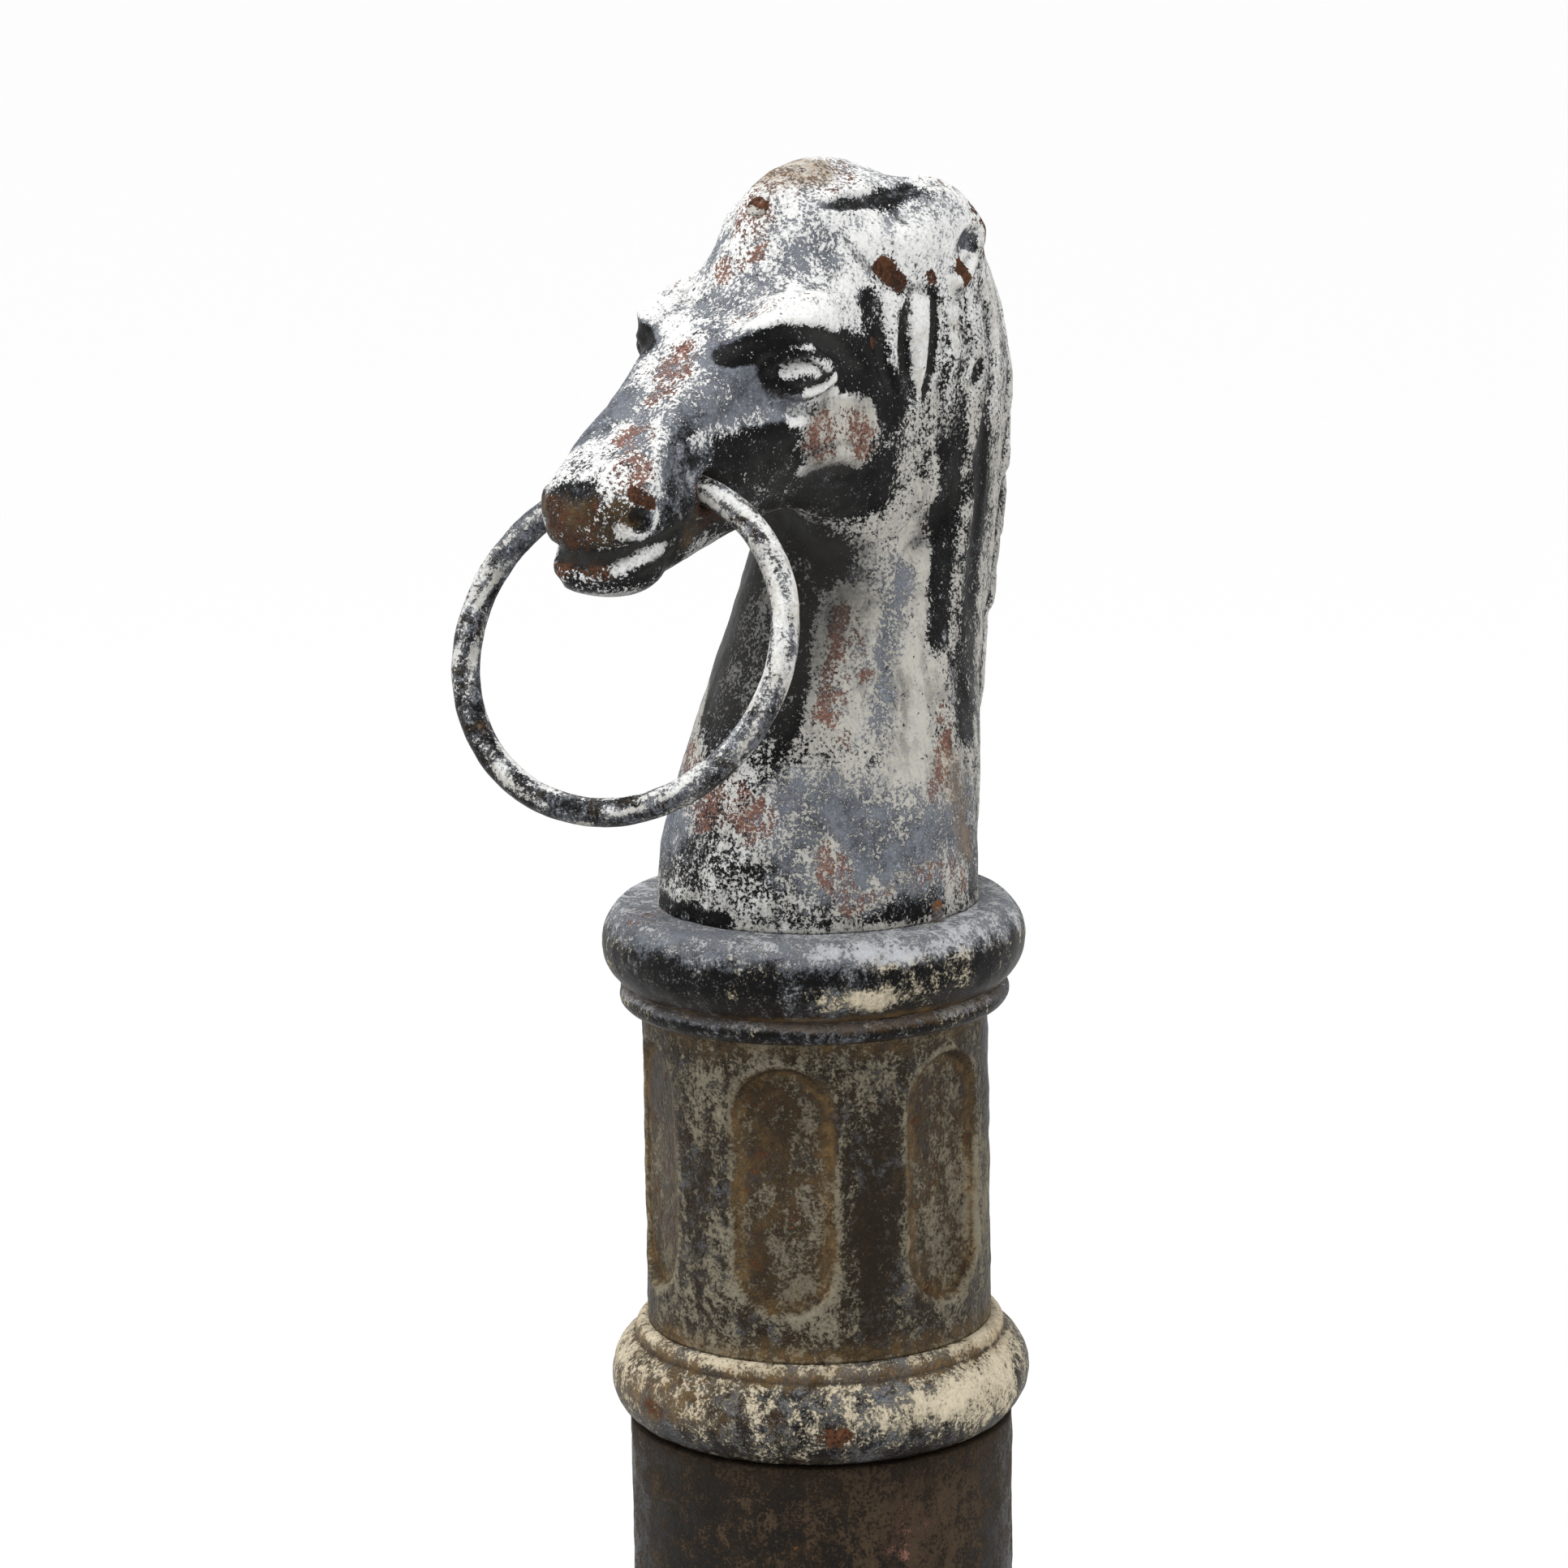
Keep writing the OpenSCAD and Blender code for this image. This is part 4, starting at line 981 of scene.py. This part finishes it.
def arc(centre, radius, start, end, steps=10):
    """Points on an arc in a turned outline; angles in degrees from straight out."""
    angles = np.radians(np.linspace(start, end, steps + 1))
    return [(centre[0] + radius * math.cos(a), centre[1] + radius * math.sin(a)) for a in angles]


def spaced(outline, spacing):
    """The closed outline with every side split into steps no longer than spacing."""
    points = []
    for a, b in zip(outline, outline[1:] + outline[:1]):
        a, b = np.array(a, float), np.array(b, float)
        steps = max(1, math.ceil(np.linalg.norm(b - a) / spacing))
        points += [a + (b - a) * n / steps for n in range(steps)]
    return np.array(points)


def turned(name, node, body, outline, spacing, material, neutral, zones=None, dent=None):
    """A ring-shaped casting turned from a closed outline of (radius, height over the node's foot). dent moves
    the points in or out. zones gives changes of paint, from the points over the node's foot, their heights
    and how far they face up: each is a layer, a level, and how much of the way there it goes."""
    low, high = edges_of(node)
    profile = spaced(outline, spacing)
    across = max(r for r, _ in outline)
    count = int(2 * math.pi * across / spacing)
    angle = np.arange(count) * 2 * math.pi / count
    r = np.repeat(profile[:, 0][:, None], count, 1)
    z = np.repeat(profile[:, 1][:, None], count, 1)
    a = np.repeat(angle[None], len(profile), 0)
    if dent is not None:
        r = dent(r, a, z)
    points = np.stack([r * np.cos(a), r * np.sin(a), z + low[2]], -1).reshape(-1, 3)
    faces = grid_faces(len(profile), count)
    normals = grid_normals(points.reshape(len(profile), count, 3)).reshape(-1, 3)
    # Uneven only on the outside, and not at the joint faces
    outer = np.clip((points[:, :2] ** 2).sum(1) ** 0.5 / across * 4 - 3, 0, 1)
    edge = np.clip(np.minimum(points[:, 2] - low[2], high[2] - points[:, 2]) / 3, 0, 1)
    swell = LUMPS * ripple(points.astype(F), 24, 5) + 0.4 * LUMPS * ripple(points.astype(F), 9, 6)
    points = points + normals * ((swell - LUMPS * 0.4) * outer * edge)[:, None]
    layers = painted_layers(points, normals, (), neutral, hollowness(points, faces, normals))
    if zones is not None:
        p = points - np.array([0, 0, low[2]])
        for layer, level, share in zones(p, p[:, 2], normals[:, 2]):
            layers[layer] += (level - layers[layer]) * share
    piece = make_mesh(name, points, faces, layers)
    piece.data.materials.append(material)
    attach(piece, body)
    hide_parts(node)
    return piece


def band(value, middle, reach):
    """1 at the middle, falling smoothly to 0 at reach."""
    t = np.clip(1 - np.abs(value - middle) / reach, 0, 1)
    return (t * t * (3 - 2 * t)).astype(F)


def around(points, way, reach):
    """1 where the points face the way given in degrees from +X, falling to 0 at reach degrees."""
    angle = np.degrees(np.arctan2(points[:, 1], points[:, 0]))
    return band((angle - way + 180) % 360 - 180, 0, reach)


def grid_faces(rows, columns):
    """Quads of a grid of points that closes on itself both ways."""
    index = np.arange(rows * columns).reshape(rows, columns)
    right, down = np.roll(index, -1, 1), np.roll(index, -1, 0)
    return np.stack([index, right, np.roll(right, -1, 0), down], -1).reshape(-1, 4)


def grid_normals(grid):
    """Outward normals of such a grid."""
    u = np.roll(grid, -1, 1) - np.roll(grid, 1, 1)
    v = np.roll(grid, -1, 0) - np.roll(grid, 1, 0)
    n = np.cross(u, v)
    return n / np.maximum(np.linalg.norm(n, axis=-1, keepdims=True), 1e-9)


def build_column():
    fine = 1.2
    inner = 58.3
    night = ("black", "soot", "charcoal")
    collar_paint = worn_paint(
        "collar_paint", 1, IRON_LOOK, pale=("slate_light", "cream", "khaki"), dark=night, scuff="beige"
    )
    cream_paint = worn_paint(
        "lower_collar_paint", 9, IRON_LOOK, pale=("cream", "cream", "khaki"), dark=night, mottled=0.16
    )
    drum_paint = worn_paint(
        "drum_paint", 2, IRON_LOOK, pale=("khaki", "khaki", "olive"), dark=("umber", "umber", "charcoal"),
        scuff="bronze", under="bronze", pebbles=0.8,
    )
    shaft_paint = worn_paint(
        "shaft_paint", 3, IRON_LOOK, pale=("bronze", "bronze", "umber"), dark=("soot", "umber", "soot"),
        scuff="olive", under="umber", mottled=0.03, speckle=0.30,
    )
    tube_r, tube_at = 18.5, 64.8
    upper = (
        [(inner, 0), (72.3, 0)]
        + arc((72.3, 4.5), 4.5, -90, 82)
        + arc((tube_at, 25.5), tube_r, -63, 54, 24)
        + [(inner, 40.5)]
    )
    lower = (
        [(inner, 0)]
        + arc((tube_at, 17.5), tube_r, -71, 62, 26)
        + arc((69.3, 36), 4, 0, 90, 6)
        + [(inner, 40)]
    )

    def upper_zones(p, z, facing):
        up = np.clip(facing * 1.6 - 0.2, 0, 1).astype(F)
        # Painted highlight on the collar's top: its upward faces are made whiter, lighter and greyer
        yield "chalk", 1.0, up
        yield "coat", 0.46, up
        yield "slate", 0.8, up
        yield "coat", 0.22, around(p, -30, 38) * band(z, 36, 7) * 0.9
        yield "primer", 0.62, around(p, -118, 26) * band(z, 40, 6)
        yield "coat", 0.05, around(p, -36, 24) * band(z, 19, 11)
        yield "stain", 0.75, around(p, -30, 60) * band(z, 9, 7)
        yield "stain", 0.60, band(z, 9, 4)
        # Painted shade under the collar's tube, where it meets the drum
        yield "grime", 0.45, band(z, 8, 6)

    def lower_zones(p, z, facing):
        # Painted highlight on the collar's upward faces
        yield "chalk", 0.9, np.clip(facing * 1.4, 0, 1).astype(F)
        yield "coat", 0.05, around(p, -20, 34) * band(z, 26, 16)
        yield "rust", 0.70, around(p, -44, 11) * band(z, 15, 8)
        yield "rust", 0.62, around(p, -100, 9) * band(z, 17, 7)
        yield "stain", 0.70, band(z, 36, 7) * 0.8
        yield "stain", 0.60, around(p, -100, 50) * band(z, 22, 18)
        # Painted shade under the collar's tube
        yield "grime", 0.60, band(z, 0, 9)

    turned(
        "upper_ring_casting", "upper_collar", "post", upper, fine, collar_paint,
        neutral=dict(coat=0.88, slate=0.28, chalk=0.2, rust=0.12, grime=0.05), zones=upper_zones,
    )
    turned(
        "lower_ring_casting", "lower_collar", "post", lower, fine, cream_paint,
        neutral=dict(coat=0.56, slate=0.35, chalk=0.3, rust=0.18, stain=0.18, grime=0.05), zones=lower_zones,
    )
    drum_r, drum_h = 68.3, height_of("fluted_drum")
    flutes, flute_half, flute_h, floor_r, flute_middle = 6, 20.0, 98.0, 63.8, 0.53 * drum_h

    def flute_edge(angle, z):
        """How far off the nearest flute's middle a point is, as an angle, and how far outside its edge."""
        sector = 2 * math.pi / flutes
        off = (angle - math.radians(180 / flutes - 90) + sector / 2) % sector - sector / 2
        up = np.maximum(np.abs(z - flute_middle) - (flute_h / 2 - flute_half), 0)
        return off, np.hypot(drum_r * np.sin(off), up) - flute_half

    def flute_dents(r, a, z):
        off, outside = flute_edge(a, z)
        share = np.clip(0.5 - outside / 2.0, 0, 1)
        share = share * share * (3 - 2 * share) * (r > drum_r - 1)
        return r + (floor_r / np.cos(off) - drum_r) * share

    def drum_zones(p, z, facing):
        radius = np.hypot(p[:, 0], p[:, 1])
        off, outside = flute_edge(np.arctan2(p[:, 1], p[:, 0]), z)
        in_flute = np.clip(-outside / 2, 0, 1).astype(F) * (radius > inner + 1)
        rim = band(outside, -1.5, 5)
        yield "coat", 0.52, in_flute
        yield "rust", 0.34, in_flute
        yield "stain", 0.35, in_flute
        # Ochre along the flute rims: partly stain and partly a painted highlight on their edges
        yield "stain", 0.75, rim * 0.8
        # Painted shade in the flutes, strongest low down and near their tops
        yield "grime", 0.40, in_flute * band(z, 30, 60)
        yield "grime", 0.45, in_flute * band(z, 100, 40)
        # Painted shadow inside the upper edge of each flute, on one side
        yield "coat", 0.95, rim * np.clip(off * 5, 0, 1).astype(F) * band(z, 105, 40)
        land = (1 - in_flute) * (radius > inner + 1)
        yield "coat", 0.95, land * around(p, -30, 13) * band(z, 55, 55)
        yield "primer", 0.48, land * around(p, -30, 15) * band(z, 50, 50)
        yield "stain", 0.55, band(z, 0, 14) + band(z, drum_h, 12)
        # Painted shade on the drum's top, under the upper collar's tube
        yield "grime", 0.50, band(z, drum_h, 10)

    drum = [(inner, 0), (drum_r, 0), (drum_r, drum_h), (inner, drum_h)]
    turned(
        "fluted_casting", "fluted_drum", "post", drum, fine, drum_paint,
        neutral=dict(coat=0.52, slate=0.28, chalk=0.40, rust=0.14, stain=0.10, grime=0.06), zones=drum_zones,
        dent=flute_dents,
    )
    shaft_h = height_of("shaft")

    def shaft_zones(p, z, facing):
        # Painted shade on the shaft's top, under the lower collar's tube
        yield "grime", 0.60, band(z, shaft_h, 26)
        for way, height in ((-22, 40), (-32, 120), (20, 260), (150, 90), (-150, 300), (95, 420)):
            patch = around(p, way, 26) * band(z, shaft_h - height, 90)
            yield "coat", 0.40, patch
            yield "primer", 0.50, patch

    bore_r, shaft_r = 66.2, 76.2
    shaft = [(bore_r, 0), (shaft_r, 0), (shaft_r, shaft_h), (bore_r, shaft_h)]
    turned(
        "shaft_casting", "shaft", "post", shaft, max(fine, 3.0), shaft_paint,
        neutral=dict(coat=0.62, slate=0.08, chalk=0.05, rust=0.22, stain=0.12, grime=0.10),
        zones=shaft_zones,
    )
    tall = height_of("base_moulding")
    moulding = (
        [(76.4, 0)]
        + arc((108, 2), 2, -90, 0, 3)
        + arc((107, 21), 3, 0, 90, 4)
        + [(101.2, 24)]
        + arc((109.2, 45), 20, 246, 204, 10)
        + [(88.2, 38), (88.2, 59)]
        + arc((86.2, 66), 7, -60, 60, 10)
        + [(88.2, 76), (84.5, 77)]
        + arc((83.2, tall - 1), 1, 0, 90, 3)
        + [(76.4, tall)]
    )
    turned(
        "base_casting", "base_moulding", "post", moulding, max(fine, 2.2), shaft_paint,
        neutral=dict(coat=0.66, slate=0.2, chalk=0.2, rust=0.25, stain=0.2, grime=0.2),
    )
    steel = bare_metal("fastener_steel", 4)
    refinish("base_flange", rusty_paint("flange_paint", 5))
    for node in ("tie_rod", "rod_washer", "rod_nut", "locating_dowels", "flange_screws"):
        refinish(node, steel)


def build_head():
    cell = 1.45
    low, high = edges_of("horse_head")
    foot = np.array([0, 0, low[2]], F)
    # Room round the head, a shift that keeps cell corners off its middle plane, and how far out the field
    # may be
    room, shift, margin = 6.0, 0.37, 9
    start = np.array([low[0] - room, low[1] - room, -room]) + shift
    end = np.array([high[0] + room, high[1] + room, high[2] - low[2] + room])

    def field(p):
        return head_field(p, foot)

    points, faces = skin(field, start, end, cell, margin)
    slope = slope_of(field, points, 1.2)
    normals = slope / np.maximum(np.linalg.norm(slope, axis=1, keepdims=True), 1e-6)
    layers = painted_layers(points, normals, HEAD_PAINT, hollow=hollowness(points, faces, normals))
    head = make_mesh("horse_head_casting", points + foot, faces, layers)
    head.data.materials.append(worn_paint("head_paint", 6))
    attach(head, "post")
    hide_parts("horse_head")
    refinish("core_plug", rusty_paint("plug_paint", 7, ("beige", "slate")))


def build_ring():
    joint = frame["joints"][0]
    low, high = edges_of("tether_ring")
    centre = (low + high) / 2
    across = np.array(joint["axis"])
    up = np.array(joint["pos_m"]) / MM - centre
    up -= across * (up @ across)
    up /= np.linalg.norm(up)
    around, along = ((40, 620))
    a = np.arange(along) * 2 * math.pi / along
    b = np.arange(around) * 2 * math.pi / around
    out = np.cos(a)[:, None] * across + np.sin(a)[:, None] * up
    face = np.cross(across, up)
    normals = np.cos(b)[None, :, None] * out[:, None] + np.sin(b)[None, :, None] * face
    points = centre + RING_R * out[:, None] + BAR_R * normals
    points = points.reshape(-1, 3)
    normals = normals.reshape(-1, 3)
    swell = 0.16 * ripple(points.astype(F), 22, 8) + 0.08 * ripple(points.astype(F), 7, 9) - 0.15
    points = points + normals * swell[:, None]
    faces = grid_faces(along, around)
    # Streaks along the bar: the same lumps as elsewhere, drawn out lengthways
    run = np.stack([np.cos(a) * RING_R, np.sin(a) * RING_R], 1).repeat(around, 0) * 0.22
    section = BAR_R * np.tile(np.cos(b), along), BAR_R * np.tile(np.sin(b), along)
    streak = ripple(np.stack([run[:, 0], run[:, 1] + section[0], section[1]], 1).astype(F), 7, 11)
    neutral = dict(coat=0.57, slate=0.45, chalk=0.4, rust=0.20, stain=0.2)
    layers = painted_layers(points, normals, neutral=neutral)
    # More of the dark coat is left towards one side of the ring
    worn = 0.15 * np.cos(a) - 0.10 * np.sin(a)
    layers["coat"] += 0.40 * streak + 0.16 * ripple(points.astype(F), 45, 12) + worn.repeat(around).astype(F)
    ring = make_mesh("tether_ring_bar", points, faces, layers)
    pale = ("white", "beige", "khaki")
    ring.data.materials.append(worn_paint("ring_paint", 8, pale=pale, speckle=0.26, edge=0.06))
    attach(ring, "ring")
    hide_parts("tether_ring")


make_camera()
make_studio()
build_column()
build_head()
build_ring()

sizes = {"cad": CAD_BOX, "visual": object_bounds()}
{name: [[float(v) for v in corner] for corner in box] for name, box in sizes.items()}
